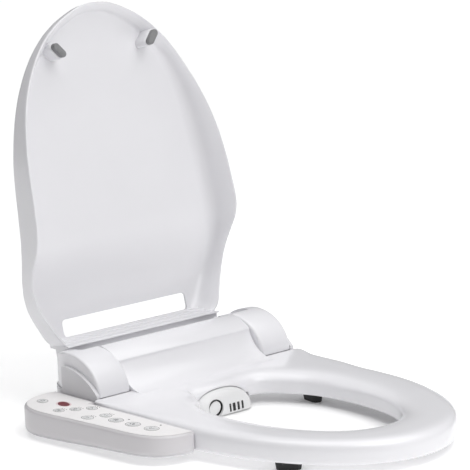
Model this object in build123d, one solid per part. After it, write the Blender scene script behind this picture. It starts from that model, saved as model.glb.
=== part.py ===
from build123d import *
import math
import os

# Electric bidet seat, lid open and seat down. Millimetres.
# +X is the seated user's left, the front is -Y, +Z is up.
# The origin is midway between the two bowl bolts, on the underside plane.

# ---------------------------------------------------------------- dimensions
HZ = 42.0              # height of the common hinge axis (runs along X at y = 0)
LID_OPEN = 102.5       # lid angle from shut to its rest, leaning back
LOBE_R = 62.0          # shoulder radius about the hinge axis
LOBE_IN = 114.0        # inner face of the shoulders, |x|
LOBE_OUT = 165.0       # outer face of the shoulders, |x|
WING_OUT = 170.0       # outer face of the stepped side walls, |x|
SKIN = 3.0             # wall of the covers
REAR_Y = 57.0          # rear wall of the tray
REAR_CORNER = 48.0     # plan radius of the rear corners
FRONT_Y = -58.0        # front wall of the tray
TRAY_Z0 = 3.0          # underside of the tray
PLATE_T = 3.0          # mounting plate thickness
BOLT_SPACING = 140.0   # bowl bolt spacing
SLOT_LEN = 30.0        # bolt slot, end to end
SLOT_R = 5.5           # half the slot width

SEAT_TOP = 41.5        # seat top
SEAT_BOT = 12.0        # seat underside
SEAT_W = 173.5         # seat half-width
SEAT_YM = -222.0       # where it is widest
SEAT_L1 = 253.0        # front semi-axis of the outline
SEAT_WR = 177.0        # half-width at the rear edge
SEAT_REAR = -63.2      # rear edge beside the hub
HUB_X = 113.3          # half-length of the hub
OPEN_W = 101.0         # opening half-width
OPEN_YC = -290.0
OPEN_YR = -122.0
OPEN_YF = -398.0
OPEN_P = 2.3           # superellipse exponent of the opening
OPEN_Z = 29.0          # height of the inner edge

ARM_Z0 = 5.0           # control arm underside
ARM_Z1 = 38.0          # control arm top
KEY_TRAVEL = 0.6       # key travel
KEY_PROUD = 0.5        # key above the overlay
KEY_GAP = 0.35         # gap round a key

NOZ_X = -30.0          # nozzle line
NOZ_TIP = (-127.5, 12.5)   # y, z of the centre of the nozzle cap
NOZ_TILT = 9.0         # slope of the wand, degrees
NOZ_LEN = 162.0        # wand length
NOZ_R = 6.5            # wand radius
CAP_R = 11.0           # cap radius
GEAR_M = 1.0           # rack and pinion module
GEAR_N = 16            # pinion teeth
PINION_S = 86.0        # pinion station along the wand, from the cap

PIN_SEAT_R = 6.0       # seat hinge pin radius
PIN_LID_R = 5.0        # lid hinge pin radius
RUN = 0.05             # radial running clearance of the pins

os.makedirs("parts", exist_ok=True)


# ------------------------------------------------------------------- helpers
def save(shape, node):
    export_step(shape, f"parts/{node}.step")


def face(*edges):
    return Face(Wire(list(edges)))


def ring_face(pts):
    return Face(Wire.make_polygon([Vector(*p) for p in pts], close=True))


def pz(pts, z0, z1):
    """Prism of an XY polygon between two heights."""
    return extrude(ring_face([(x, y, z0) for x, y in pts]), amount=z1 - z0, dir=(0, 0, 1))


def px(pts, x0, x1):
    """Prism of a YZ polygon between two X positions."""
    return extrude(ring_face([(x0, y, z) for y, z in pts]), amount=x1 - x0, dir=(1, 0, 0))


def block(x0, x1, y0, y1, z0, z1):
    return Pos((x0 + x1) / 2, (y0 + y1) / 2, (z0 + z1) / 2) * Box(x1 - x0, y1 - y0, z1 - z0)


def cyl_x(y, z, r, x0, x1):
    return Pos((x0 + x1) / 2, y, z) * Rot(0, 90, 0) * Cylinder(r, x1 - x0)


def cyl_y(x, z, r, y0, y1):
    return Pos(x, (y0 + y1) / 2, z) * Rot(90, 0, 0) * Cylinder(r, y1 - y0)


def cyl_z(x, y, r, z0, z1):
    return Pos(x, y, (z0 + z1) / 2) * Cylinder(r, z1 - z0)


def polar(r, deg):
    """Point at radius r from the hinge axis; 0 points forward, 90 up."""
    a = math.radians(deg)
    return (-r * math.cos(a), HZ + r * math.sin(a))


def sector(r0, r1, a0, a1, n=24):
    """YZ polygon of a ring sector about the hinge axis."""
    k = [a0 + (a1 - a0) * i / n for i in range(n + 1)]
    return [polar(r1, a) for a in k] + [polar(r0, a) for a in reversed(k)]


def arc_sector_x(r0, r1, a0, a1, x0, x1):
    """Ring sector about the hinge axis with true round faces."""
    def p(r, a):
        y, z = polar(r, a)
        return Vector(x0, y, z)
    m = (a0 + a1) / 2
    f = face(
        ThreePointArc(p(r1, a0), p(r1, m), p(r1, a1)),
        Line(p(r1, a1), p(r0, a1)),
        ThreePointArc(p(r0, a1), p(r0, m), p(r0, a0)),
        Line(p(r0, a0), p(r1, a0)),
    )
    return extrude(f, amount=x1 - x0, dir=(1, 0, 0))


def seat_half(y, inset=0.0):
    w, l1 = SEAT_W - inset, SEAT_L1 - inset
    if y < SEAT_YM:
        return w * math.sqrt(max(0.0, 1 - ((SEAT_YM - y) / l1) ** 2))
    k = (y - SEAT_YM) / (SEAT_REAR - SEAT_YM)
    return w + (SEAT_WR - SEAT_W) * k * k


def seat_outline(z, inset=0.0, y_rear=SEAT_REAR):
    """Face of the seat's plan outline at a height."""
    w, l1 = SEAT_W - inset, SEAT_L1 - inset
    right = []
    for k in (0.0, 0.35, 0.7):
        y = y_rear + (SEAT_YM - y_rear) * k
        right.append((seat_half(y, inset), y))
    for a in (90, 78, 66, 54, 42, 30, 20, 10):
        t = math.radians(a)
        right.append((w * math.sin(t), SEAT_YM - l1 * math.cos(t)))
    pts = [Vector(x, y, z) for x, y in right] + [Vector(0, SEAT_YM - l1, z)]
    pts += [Vector(-x, y, z) for x, y in reversed(right)]
    s = Spline(*pts)
    return face(s, Line(pts[-1], pts[0]))


def open_pts(z, grow=0.0, grow_rear=None, n=40):
    g2 = grow if grow_rear is None else grow_rear
    out = []
    for i in range(n):
        t = 2 * math.pi * i / n
        c, s = math.cos(t), math.sin(t)
        x = (OPEN_W + grow) * math.copysign(abs(c) ** (2 / OPEN_P), c)
        ly = (OPEN_YR + g2 - OPEN_YC) if s > 0 else (OPEN_YC - OPEN_YF + grow)
        out.append(Vector(x, OPEN_YC + ly * math.copysign(abs(s) ** (2 / OPEN_P), s), z))
    return out


def open_face(z, grow=0.0, grow_rear=None):
    return face(Spline(*open_pts(z, grow, grow_rear), periodic=True))


def up(f, h):
    return extrude(f, amount=h, dir=(0, 0, 1))


def turn_lid(shape):
    """From the shut pose to the open rest pose."""
    return shape.rotate(Axis((0, 0, HZ), (1, 0, 0)), -LID_OPEN)


# --------------------------------------------------------- mounting plate
plate = Pos(0, 2, PLATE_T / 2) * Box(220, 84, PLATE_T)
plate = fillet(plate.edges().filter_by(Axis.Z), 14)
for s in (-1, 1):
    plate -= Pos(s * BOLT_SPACING / 2, 0, PLATE_T / 2) * extrude(
        SlotOverall(SLOT_LEN, 2 * SLOT_R), amount=PLATE_T, both=True)
save(plate, "mounting_plate")


# ------------------------------------------------------------------- base
def footprint(z, x, y0, y1, rc):
    """Plan outline with a square front and round rear corners."""
    v = lambda a, b: Vector(a, b, z)
    k = rc * (1 - math.sqrt(0.5))
    return face(
        Line(v(-x, y0), v(x, y0)),
        Line(v(x, y0), v(x, y1 - rc)),
        ThreePointArc(v(x, y1 - rc), v(x - k, y1 - k), v(x - rc, y1)),
        Line(v(x - rc, y1), v(-x + rc, y1)),
        ThreePointArc(v(-x + rc, y1), v(-x + k, y1 - k), v(-x, y1 - rc)),
        Line(v(-x, y1 - rc), v(-x, y0)),
    )


tray = up(footprint(TRAY_Z0, LOBE_OUT, FRONT_Y, REAR_Y, REAR_CORNER), 42.0 - TRAY_Z0)
tray_in = up(footprint(TRAY_Z0 + SKIN, LOBE_OUT - SKIN, FRONT_Y + SKIN, REAR_Y - SKIN, REAR_CORNER - SKIN), 60)
# stepped side walls with an arched top
wing = face(
    Line((0, 8, 3), (0, 8, 71)),
    ThreePointArc((0, 8, 71), (0, 6.8, 73.4), (0, 4, 74)),
    ThreePointArc((0, 4, 74), (0, -37, 64.5), (0, -62.4, 46)),
    Line((0, -62.4, 46), (0, -62.4, 3)),
    Line((0, -62.4, 3), (0, 8, 3)),
)
wing = extrude(wing, amount=WING_OUT - LOBE_OUT, dir=(1, 0, 0))
lower = tray + Pos(LOBE_OUT, 0, 0) * wing + Pos(-WING_OUT, 0, 0) * wing
# tongue that carries the nozzle station under the rear of the seat
TONGUE = (-54.0, 32.0, -113.0, 34.0)   # x0, x1, front y, top z
lower += block(TONGUE[0], TONGUE[1], TONGUE[2], FRONT_Y + 1, 2.0, TONGUE[3])
lower -= tray_in
lower -= block(TONGUE[0] + SKIN, TONGUE[1] - SKIN, TONGUE[2] - 1, FRONT_Y + SKIN + 1, 4.6, TONGUE[3] - 2.4)
# room for the seat hub in the front and rear walls, and for the lid arms behind
lower -= block(-LOBE_IN, LOBE_IN, FRONT_Y - 6, FRONT_Y + SKIN + 1, 34.5, 60)
for s in (-1, 1):
    lower -= block(*sorted((s * 121.0, s * 131.0)), 0, 80, 20, 60)
    lower -= Pos(s * BOLT_SPACING / 2, 0, TRAY_Z0) * extrude(SlotOverall(SLOT_LEN + 18, 26), amount=SKIN + 8, both=True)
    pocket = Pos(s * BOLT_SPACING / 2, 0, TRAY_Z0) * extrude(SlotOverall(SLOT_LEN + 22, 30), amount=14)
    pocket -= Pos(s * BOLT_SPACING / 2, 0, TRAY_Z0) * extrude(SlotOverall(SLOT_LEN + 18, 26), amount=11.6)
    lower += pocket
# ports in the +X wall: water inlet and release button; cord gland in the rear wall
INLET_Y, INLET_Z, INLET_R = -42.0, 20.0, 10.4
REL_Y, REL_Z = -13.0, 26.0
lower -= cyl_x(INLET_Y, INLET_Z, 11.0, 160, 175)
lower -= block(160, 175, REL_Y - 10.4, REL_Y + 10.4, REL_Z - 6.4, REL_Z + 6.4)
lower -= cyl_y(100, 13.0, 6.1, 50, 60)
screw_xy = [(-150, -45), (150, 22), (-150, 12), (114, 38), (-114, 38)]
for x, y in screw_xy:
    lower += cyl_z(x, y, 5.0, TRAY_Z0, 41.5 if y < 30 else 40.2)  # the rear pair clears the raised hub
    lower -= cyl_z(x, y, 2.1, 0, 41.6)
    lower -= cyl_z(x, y, 4.2, 0, 6.0)
for x, y in ((-104, 24), (-48, 24), (-104, 46), (-48, 46)):
    lower += cyl_z(x, y, 3.0, TRAY_Z0 + 1, 18.0)
save(lower, "base_lower_housing")

screws = None
for x, y in screw_xy:
    one = cyl_z(x, y, 2.0, 5.6, 32) + cyl_z(x, y, 4.0, 3.6, 5.9)
    screws = one if screws is None else screws + one
save(screws, "base_screws")

# rear cover: two rounded shoulders tied by a rear wall
lobe_plan = up(footprint(HZ + 0.3, LOBE_OUT, -80, LOBE_R, REAR_CORNER + 5), 80)
lobe_plan_in = up(footprint(HZ - 5, LOBE_OUT - SKIN, -80, LOBE_R - SKIN, REAR_CORNER + 2), 90)
cover = None
for s in (-1, 1):
    a, b = sorted((s * LOBE_IN, s * LOBE_OUT))
    one = cyl_x(0, HZ, LOBE_R, a, b) & lobe_plan
    a2, b2 = sorted((s * (LOBE_IN + SKIN), s * (LOBE_OUT - SKIN)))
    one -= cyl_x(0, HZ, LOBE_R - SKIN, a2, b2) & lobe_plan_in
    cover = one if cover is None else cover + one
cover += arc_sector_x(57.5, 61.6, 112, 179.6, -LOBE_IN - 1, LOBE_IN + 1)
for s in (-1, 1):
    cover -= block(*sorted((s * 121.0, s * 131.0)), -5.5, 90, HZ - 5, 120)
    cover -= block(*sorted((s * 110.0, s * 121.5)), -5.5, 90, 88, 120)  # the slit runs on into the shoulder
    cover -= cyl_x(0, HZ, 12.5, *sorted((s * 100.0, s * 131.0)))
save(cover, "base_upper_cover")

# fixed drum that closes the base under the seat hub
drum = arc_sector_x(40.5, 43.5, 1.0, 179.0, -98, 98)
for s in (-1, 1):
    a, b = sorted((s * 95.0, s * 98.0))
    drum += arc_sector_x(14.0, 42.0, 1.0, 179.0, a, b)
save(drum, "center_cover")

# hinge brackets: two cheeks each, bored for the seat pin and the lid pin
brackets = None
for s in (-1, 1):
    def cheek(x0, x1):
        a, b = sorted((s * x0, s * x1))
        return px([(-13, 6.2), (13, 6.2), (9.5, HZ), (-9.5, HZ)], a, b) + cyl_x(0, HZ, 9.5, a, b)
    one = cheek(115.0, 120.4) + cheek(131.6, 137.4)
    one += block(*sorted((s * 115.0, s * 137.4)), -13, 13, 6.2, 10)
    one -= cyl_x(0, HZ, PIN_SEAT_R + RUN, *sorted((s * 114.0, s * 117.6)))
    one -= cyl_x(0, HZ, PIN_LID_R + RUN, *sorted((s * 110.0, s * 140.0)))
    brackets = one if brackets is None else brackets + one
save(brackets, "hinge_brackets")

# soft-close dampers
lid_damper = cyl_x(0, HZ, 11.0, 138.6, 160.0) + block(141, 158, -6, 6, 6.0, HZ - 4)
save(lid_damper, "lid_damper")
seat_damper = cyl_x(0, HZ, 11.0, -92.0, -66.0) + block(-88, -70, -5, 5, 17.0, HZ - 4)
save(seat_damper, "seat_damper")

# release button on the +X side
rel = block(165.6, 172.5, REL_Y - 10, REL_Y + 10, REL_Z - 6, REL_Z + 6)
rel = fillet(rel.edges().filter_by(Axis.X), 5)
rel += block(153, 166, REL_Y - 6, REL_Y + 6, REL_Z - 3, REL_Z + 3)
rel_clear = rel
save(rel, "release_button")

# water inlet: threaded nipple with a hex shoulder inside the wall
inlet = cyl_x(INLET_Y, INLET_Z, INLET_R, 158, 186) + cyl_x(INLET_Y, INLET_Z, 10.9, 150, 170)
inlet += cyl_x(INLET_Y, INLET_Z, 5.0, 138, 150)
inlet -= cyl_x(INLET_Y, INLET_Z, 3.2, 130, 190)
save(inlet, "inlet_connector")

gland = cyl_y(100, 13.0, 6.0, 46, 68) + cyl_y(100, 13.0, 6.9, 46, 53.8) + cyl_y(100, 13.0, 7.6, 57.3, 60.5)
gland -= cyl_y(100, 13.0, 3.6, 40, 70)
save(gland, "cord_gland")

# ------------------------------------------------------------ inside the base
tank = block(22, 92, 8, 48, 19.0, 39.0)
tank = fillet(tank.edges().filter_by(Axis.X), 6) + block(30, 84, 9, 42, 17.0, 19.2)
tank -= cyl_x(28, 29, 3.2, 86, 100)
save(tank, "water_tank")
save(cyl_x(28, 29, 3.0, 87.2, 110) + block(92.2, 95.2, 20, 36, 22, 36), "tank_heater")

valve = block(96, 128, -50, -24, 18.5, 33) - block(113, 140, -16, 16, 0, 80)
valve += cyl_z(104, -37, 9, 33, 40) + cyl_x(INLET_Y, INLET_Z, 4.6, 127.9, 137.4)
save(valve, "solenoid_valve")

save(block(-108, -44, 20, 50, 18.0, 19.6), "main_pcb")
comp = block(-104, -84, 26, 44, 19.6, 33) + cyl_z(-74, 34, 6, 19.6, 36) + block(-64, -50, 28, 40, 19.6, 30)
save(comp, "pcb_components")


# nozzle: wand, rack and cap, built along its own axis and then laid in place
def noz(shape):
    """Local frame: +Y runs back along the wand from the cap, +Z is its upper side."""
    return Pos(NOZ_X, NOZ_TIP[0], NOZ_TIP[1]) * Rot(NOZ_TILT, 0, 0) * shape


PITCH = math.pi * GEAR_M
RACK_X = 9.5           # pitch line, from the wand axis towards +X
wand = cyl_y(0, 0, NOZ_R, 1.8, NOZ_LEN)
for k in range(3):
    wand -= cyl_z(0, 12 + 4 * k, 0.7, 2, 8)
wand += block(5.0, RACK_X - 1.15 * GEAR_M, 40, NOZ_LEN - 2, -2.8, 2.8)
first = -13
for k in range(first, 25):
    y = PINION_S + (k + 0.5) * PITCH
    if y < 42 or y > NOZ_LEN - 4:
        continue
    half_root = PITCH / 4 + math.tan(math.radians(20)) * 1.15 * GEAR_M - 0.10
    half_tip = PITCH / 4 - math.tan(math.radians(20)) * 0.9 * GEAR_M - 0.10
    tooth = pz([(RACK_X - 1.2 * GEAR_M, y - half_root), (RACK_X + 0.9 * GEAR_M, y - half_tip),
                (RACK_X + 0.9 * GEAR_M, y + half_tip), (RACK_X - 1.2 * GEAR_M, y + half_root)], -2.8, 2.8)
    wand += tooth
wand += cyl_y(0, 0, 2.5, NOZ_LEN - 0.5, NOZ_LEN + 5)
save(noz(wand), "wash_nozzle")
cap = cyl_y(0, 0, CAP_R, 0, 1.8)
cap = fillet(cap.edges().filter_by(GeomType.CIRCLE).sort_by(Axis.Y)[0], 1.2)
save(noz(cap), "nozzle_cap")


def gear_outline(n, m, backlash):
    """Involute spur gear outline as a point list."""
    rp = n * m / 2
    rb = rp * math.cos(math.radians(20))
    ra, rr = rp + 0.9 * m, rp - 1.2 * m
    inv = lambda r: math.tan(math.acos(min(1, rb / r))) - math.acos(min(1, rb / r))
    half = math.pi / (2 * n) - backlash / (2 * rp)
    pts = []
    for k in range(n):
        c = 2 * math.pi * k / n + math.pi
        rs = [max(rb, rr) + (ra - max(rb, rr)) * i / 5 for i in range(6)]
        left = [(r, c - (half + inv(rp) - inv(r))) for r in rs]
        right = [(r, c + (half + inv(rp) - inv(r))) for r in reversed(rs)]
        pts.append((rr, left[0][1] - 0.02))
        pts += left + right
        pts.append((rr, right[-1][1] + 0.02))
    return [(r * math.cos(a), r * math.sin(a)) for r, a in pts]


PIN_X = RACK_X + GEAR_N * GEAR_M / 2
pinion = Pos(PIN_X, PINION_S, 0) * (pz(gear_outline(GEAR_N, GEAR_M, 0.2), -2.6, 2.6) - Cylinder(1.56, 20))
save(noz(pinion), "nozzle_pinion")
motor = Pos(PIN_X, PINION_S, 0) * (cyl_z(0, 0, 11, -16.5, -4.0) + cyl_z(0, 0, 1.5, -4.5, 4.0))
save(noz(motor), "nozzle_motor")

guide = None
for y0 in (14, 50):
    r = cyl_y(0, 0, 8.6, y0, y0 + 12) - cyl_y(0, 0, NOZ_R + 0.08, y0 - 1, y0 + 13) - block(2.6, 20, y0 - 1, y0 + 13, -20, 20)
    guide = r if guide is None else guide + r
guide += block(-3.0, 2.0, 14, 62, -9.4, -7.4)
guide = noz(guide)
guide += block(NOZ_X - 2.5, NOZ_X + 1.5, -110, -96, 4.6, 7.2)
save(guide, "nozzle_guide")

# hood over the nozzle and the warm-air outlet
HOOD_X, HOOD_Z0, HOOD_A, HOOD_B = -11.0, 2.0, 42.0, 31.5
HOOD_Y0, HOOD_Y1 = -131.0, -113.3


def dome(y, grow):
    a, b = HOOD_A + grow, HOOD_B + grow
    pts = [Vector(HOOD_X + a * math.cos(t), y, HOOD_Z0 + b * math.sin(t) ** 0.9)
           for t in [math.pi * i / 16 for i in range(17)]]
    return face(Spline(*pts), Line(pts[-1], pts[0]))


hood = extrude(dome(HOOD_Y0, 0), amount=HOOD_Y1 - HOOD_Y0, dir=(0, 1, 0))
front = hood.faces().sort_by(Axis.Y)[0]
hood = fillet([e for e in front.edges() if e.geom_type != GeomType.LINE], 5)
hood -= extrude(dome(HOOD_Y0 + 2.6, -2.6), amount=40, dir=(0, 1, 0)) - block(-90, 70, -140, -100, 0, 4.4)
port = noz(cyl_y(0, 0, CAP_R + 0.7, -30, 30))
hood -= port
GRILLE = (-9.0, 23.0, 4.8, 17.0)      # x0, x1, z0, z1
hood -= block(GRILLE[0], GRILLE[1], -140, -120, GRILLE[2], GRILLE[3])
hood -= block(-200, 200, -113.6, -112, -10, 60)
save(hood, "nozzle_hood")

grille = block(GRILLE[0] + 0.2, GRILLE[1] - 0.2, -130.4, -127.4, GRILLE[2] + 0.2, GRILLE[3] - 0.2)
for k in range(5):
    x = GRILLE[0] + 3.6 + 6.2 * k
    slot = px([(-140, GRILLE[2] + 2), (-120, GRILLE[2] + 2), (-120, GRILLE[3] - 2), (-140, GRILLE[3] - 2)], x - 1.7, x + 1.7)
    grille -= slot
save(grille, "dryer_grille")

# warm-air dryer
FAN_Y, FAN_Z = 2.0, 59.5
scroll = cyl_x(FAN_Y, FAN_Z, 21.5, 42, 66) + block(44, 64, -19, -6, 34, 56)
scroll -= cyl_x(FAN_Y, FAN_Z, 19.6, 44, 64)
scroll -= cyl_x(FAN_Y, FAN_Z, 9.0, 30, 50)
scroll -= cyl_x(FAN_Y, FAN_Z, 3.2, 60, 70)
scroll -= block(46, 62, -17, -8, 30, 58)
save(scroll, "dryer_fan_scroll")
imp = cyl_x(FAN_Y, FAN_Z, 18.5, 60.4, 62.4) + cyl_x(FAN_Y, FAN_Z, 4.5, 50, 62)
for k in range(9):
    blade = Pos(55.4, FAN_Y, FAN_Z) * Rot(40 * k, 0, 0) * Pos(0, 0, 14.6) * Rot(28, 0, 0) * Box(10.4, 1.4, 7.0)
    imp += blade
imp -= cyl_x(FAN_Y, FAN_Z, 2.06, 48, 70)
save(imp, "dryer_impeller")
save(cyl_x(FAN_Y, FAN_Z, 9.5, 66.3, 84) + cyl_x(FAN_Y, FAN_Z, 2.0, 49, 66.4), "dryer_fan_motor")
duct = block(1.5, 24, -113.2, -34, 6.2, 22) + block(22, 64, -54.5, -30, 10, 28) + block(44, 64, -31, -6, 17.4, 34.0)
duct -= block(3.3, 22.2, -130, -35.8, 8, 20.2)
duct -= block(20, 62.2, -52.7, -31.8, 11.8, 26.2)
duct -= block(45.8, 62.2, -40, -7.8, 19.2, 26.2)
duct -= block(46, 62, -17, -8, 22, 40)
save(duct, "dryer_duct")
heater = block(5.5, 20, -104, -101, 8, 20.2) + block(5.5, 20, -84, -81, 8, 20.2)
for k in range(5):
    heater += cyl_y(7.5 + 2.6 * k, 13.1, 0.7, -102, -83)
save(heater, "dryer_heater")

hose_path = Spline((104, -24, 24), (98, -10, 24.5), (86, 8, 25), tangents=[(0, 1, 0), (0, 1, 0)])
hose = sweep(Plane((104, -24, 24), z_dir=(0, 1, 0)) * Circle(3.2), path=hose_path)
hose -= sweep(Plane((104, -24, 24), z_dir=(0, 1, 0)) * Circle(2.0), path=hose_path)
save(hose, "internal_hoses")

# ------------------------------------------------------------------- seat
CREST = (-37.5, 78.5)
BAND = (-3.0, 91.5)
RAMP_Y = -86.0
ramp_r = ((CREST[0] - RAMP_Y) ** 2 + (CREST[1] - SEAT_TOP) ** 2) / (2 * (CREST[1] - SEAT_TOP))
HUB_IN = 44.6


def v3(p, x):
    return Vector(x, p[0], p[1])


def ramp_pt(k):
    a = k * math.acos((SEAT_TOP + ramp_r - CREST[1]) / ramp_r)
    return (RAMP_Y + ramp_r * math.sin(a), SEAT_TOP + ramp_r - ramp_r * math.cos(a))


def hub_profile(x):
    inner = [polar(HUB_IN, a) for a in (86.0, 46.0, 6.0)]
    return face(
        ThreePointArc(v3((RAMP_Y, SEAT_TOP), x), v3(ramp_pt(0.5), x), v3(CREST, x)),
        ThreePointArc(v3(CREST, x), v3((-21.5, 87.2), x), v3(BAND, x)),
        Line(v3(BAND, x), v3(inner[0], x)),
        ThreePointArc(v3(inner[0], x), v3(inner[1], x), v3(inner[2], x)),
        Line(v3(inner[2], x), v3((-62.0, 36.0), x)),
        Line(v3((-62.0, 36.0), x), v3((RAMP_Y, 36.0), x)),
        Line(v3((RAMP_Y, 36.0), x), v3((RAMP_Y, SEAT_TOP), x)),
    )


ring = up(seat_outline(19.0), SEAT_TOP - 19.0)
top_edges = [e for e in ring.edges() if abs(e.bounding_box().min.Z - SEAT_TOP) < 1e-6
             and abs(e.bounding_box().max.Z - SEAT_TOP) < 1e-6 and e.geom_type != GeomType.LINE]
ring = fillet(top_edges, 9.0)
dish = loft([open_face(OPEN_Z, 0.0), open_face(SEAT_TOP + 0.5, 36.0, 22.0)], ruled=True)
dish_low = up(open_face(0.0, 0.0), OPEN_Z + 0.01)
ring -= dish
ring -= dish_low
hub = extrude(hub_profile(-HUB_X), amount=2 * HUB_X, dir=(1, 0, 0))
for s in (-1, 1):
    a, b = sorted((s * 101.0, s * HUB_X))
    w0, w1 = sorted((s * 109.5, s * HUB_X))
    hub += arc_sector_x(10.0, HUB_IN + 1.0, 6.0, 86.0, w0, w1)
    hub += cyl_x(0, HZ, 11.0, a, b)
seat = ring + hub
# room for the nozzle station
STATION = (-58.0, 36.0, -150.0, 34.6)
seat -= block(STATION[0], STATION[1], STATION[2], -50, 0, STATION[3])
for s in (-1, 1):
    seat -= cyl_x(0, HZ, PIN_SEAT_R + 0.01, *sorted((s * 90.0, s * 130.0)))
# hollow for the heater, open below
deep = up(seat_outline(18.0, 9.0, -160.0), 18.6) - up(open_face(0.0, 30.0, 30.0), 60)
shallow = up(seat_outline(18.0, 6.0, -160.0), 7.0) - up(open_face(0.0, 7.0, 7.0), 60)
seat -= deep
seat -= shallow
save(seat, "seat_top_shell")

heat = up(seat_outline(35.8, 12.0, -166.0), 0.8) - up(open_face(0.0, 33.0, 33.0), 60)
save(heat, "seat_heater")

bottom = up(seat_outline(SEAT_BOT, 3.0, SEAT_REAR - 3), 19.0 - SEAT_BOT - 0.02)
low_edges = [e for e in bottom.edges() if abs(e.bounding_box().max.Z - SEAT_BOT) < 1e-6 and e.geom_type != GeomType.LINE]
bottom = fillet(low_edges, 2.5)
bottom -= up(open_face(0.0, 3.0, 3.0), 60)
bottom -= block(STATION[0], STATION[1], STATION[2], -50, 0, 60)
save(bottom, "seat_bottom_cover")

FEET = [(120.0, -362.0, 45.0), (-120.0, -362.0, -45.0), (112.0, -160.0, 80.0), (-112.0, -160.0, -80.0)]
feet = None
for x, y, a in FEET:
    f0 = Pos(x, y, SEAT_BOT) * Rot(0, 0, a) * extrude(SlotOverall(34, 18), amount=-SEAT_BOT, taper=9)
    feet = f0 if feet is None else feet + f0
save(feet, "seat_feet")

pins = None
for s in (-1, 1):
    p = cyl_x(0, HZ, PIN_SEAT_R, *sorted((s * 104.0, s * 117.3)))
    pins = p if pins is None else pins + p
save(pins, "seat_hinge_pins")

# -------------------------------------------------------------------- lid
# Built shut: forward distance l is -y, height h is above the hinge axis.
LID_T = 3.5
LID_REAR = -4.0
lid_side = [(-4.0, 121.0), (20.0, 128.5), (40.0, 131.8), (60.0, 137.2), (80.0, 147.5), (100.0, 156.6), (120.0, 163.4), (140.0, 168.2),
            (160.0, 171.4), (180.0, 172.4), (200.0, 171.6), (220.0, 170.2), (240.0, 168.8), (270.0, 166.6), (300.0, 162.9), (330.0, 156.4),
            (360.0, 147.2), (390.0, 134.2), (420.0, 116.6), (440.0, 100.4), (455.0, 84.6), (468.0, 66.6), (478.0, 47.6), (485.0, 25.4)]
LID_TIP = 487.5
lid_back = [(-4.0, 66.6), (15.0, 67.8), (50.0, 69.8), (80.0, 70.6), (100.0, 69.0), (120.0, 64.4), (140.0, 57.4), (160.0, 49.6), (180.0, 43.4),
            (200.0, 40.4), (240.0, 39.0), (300.0, 37.4), (360.0, 36.4), (420.0, 33.0), (455.0, 30.4), (487.0, 27.0)]
lid_rim = [(60.0, 37.6), (80.0, 40.4), (100.0, 42.4), (120.0, 40.6), (140.0, 33.6), (158.0, 22.0), (172.0, 11.6), (186.0, 4.6), (200.0, 1.8),
           (220.0, 1.0), (260.0, 0.9), (300.0, 1.2), (330.0, 3.4), (360.0, 6.8), (390.0, 9.6), (420.0, 11.0), (455.0, 12.0), (487.0, 11.6)]


def lid_outline(z, inset=0.0):
    pts = [(x, l) for l, x in lid_side] + [(0.0, LID_TIP)]
    right = []
    for i, (x, l) in enumerate(pts[:-1]):
        (xa, la), (xb, lb) = pts[max(i - 1, 0)], pts[i + 1]
        d = math.hypot(xb - xa, lb - la)
        right.append((x - inset * (lb - la) / d, -max(l + inset * (xb - xa) / d, LID_REAR + inset)))
    v = [Vector(x, y, z) for x, y in right] + [Vector(0, -LID_TIP + inset, z)]
    v += [Vector(-x, y, z) for x, y in reversed(right)]
    return face(Spline(*v), Line(v[-1], v[0]))


def lid_slice(drop, low):
    """Side profile: under the back by drop, above the rim or a low line."""
    back = [Vector(-200, -l, HZ + h - drop) for l, h in lid_back]
    a, b = back[0] + Vector(0, 40, 0), back[-1] + Vector(0, -40, 0)
    edges = [Line(a, back[0]), Spline(*back), Line(back[-1], b)]
    if low is not None:
        edges += [Line(b, Vector(-200, b.Y, low)), Line(Vector(-200, b.Y, low), Vector(-200, a.Y, low)), Line(Vector(-200, a.Y, low), a)]
    else:
        rim = [Vector(-200, -l, HZ + h) for l, h in lid_rim]
        r0 = 63.6
        k = [Vector(-200, -l, HZ + math.sqrt(r0 * r0 - l * l)) for l in (0.0, 25.0, 49.0)]
        c = Vector(-200, b.Y, rim[-1].Z)
        d = Vector(-200, a.Y, k[0].Z)
        edges += [Line(b, c), Line(c, rim[-1]), Spline(*reversed(rim)), Line(rim[0], k[2]),
                  ThreePointArc(k[2], k[1], k[0]), Line(k[0], d), Line(d, a)]
    return extrude(face(*edges), amount=400, dir=(1, 0, 0))


lid = up(lid_outline(HZ - 20), 160) & lid_slice(0.0, None)
lid_in = up(lid_outline(HZ - 20, LID_T), 160) & lid_slice(LID_T, HZ - 40)
lid -= lid_in
SLOT = (106.5, 61.5, 84.5)
lid -= block(-SLOT[0], SLOT[0], -SLOT[2], -SLOT[1], HZ + 20, HZ + 90)
# stiffening bar under the slot
lid += block(-128, 128, -60.0, -46.0, HZ + 54.5, HZ + 66)
lid += block(-128, 128, -47.0, -31.0, HZ + 56.0, HZ + 66)
# bumper bosses
BUMP_X, BUMP_L, BUMP_A = 79.0, 432.0, 49.0
for s in (-1, 1):
    boss = Pos(s * BUMP_X, -BUMP_L, HZ + 8.0) * Rot(0, 0, -s * BUMP_A) * extrude(SlotOverall(32, 13), amount=21.5)
    lid += boss
# hinge arms
for s in (-1, 1):
    a, b = sorted((s * 122.0, s * 130.0))
    arm = px([(9.6, HZ), (3.4, HZ + 65.0), (-4.5, HZ + 65.0), (-4.5, HZ + 9.0), (-9.6, HZ)], a, b) + cyl_x(0, HZ, 10.0, a, b)
    arm -= cyl_x(0, HZ, PIN_LID_R + 0.01, *sorted((s * 110.0, s * 140.0)))
    lid += arm
save(turn_lid(lid), "lid_shell")

bumps = None
for s in (-1, 1):
    one = Pos(s * BUMP_X, -BUMP_L, HZ + 0.1) * Rot(0, 0, -s * BUMP_A) * extrude(SlotOverall(29, 10.5), amount=7.9)
    bumps = one if bumps is None else bumps + one
save(turn_lid(bumps), "lid_bumpers")

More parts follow.
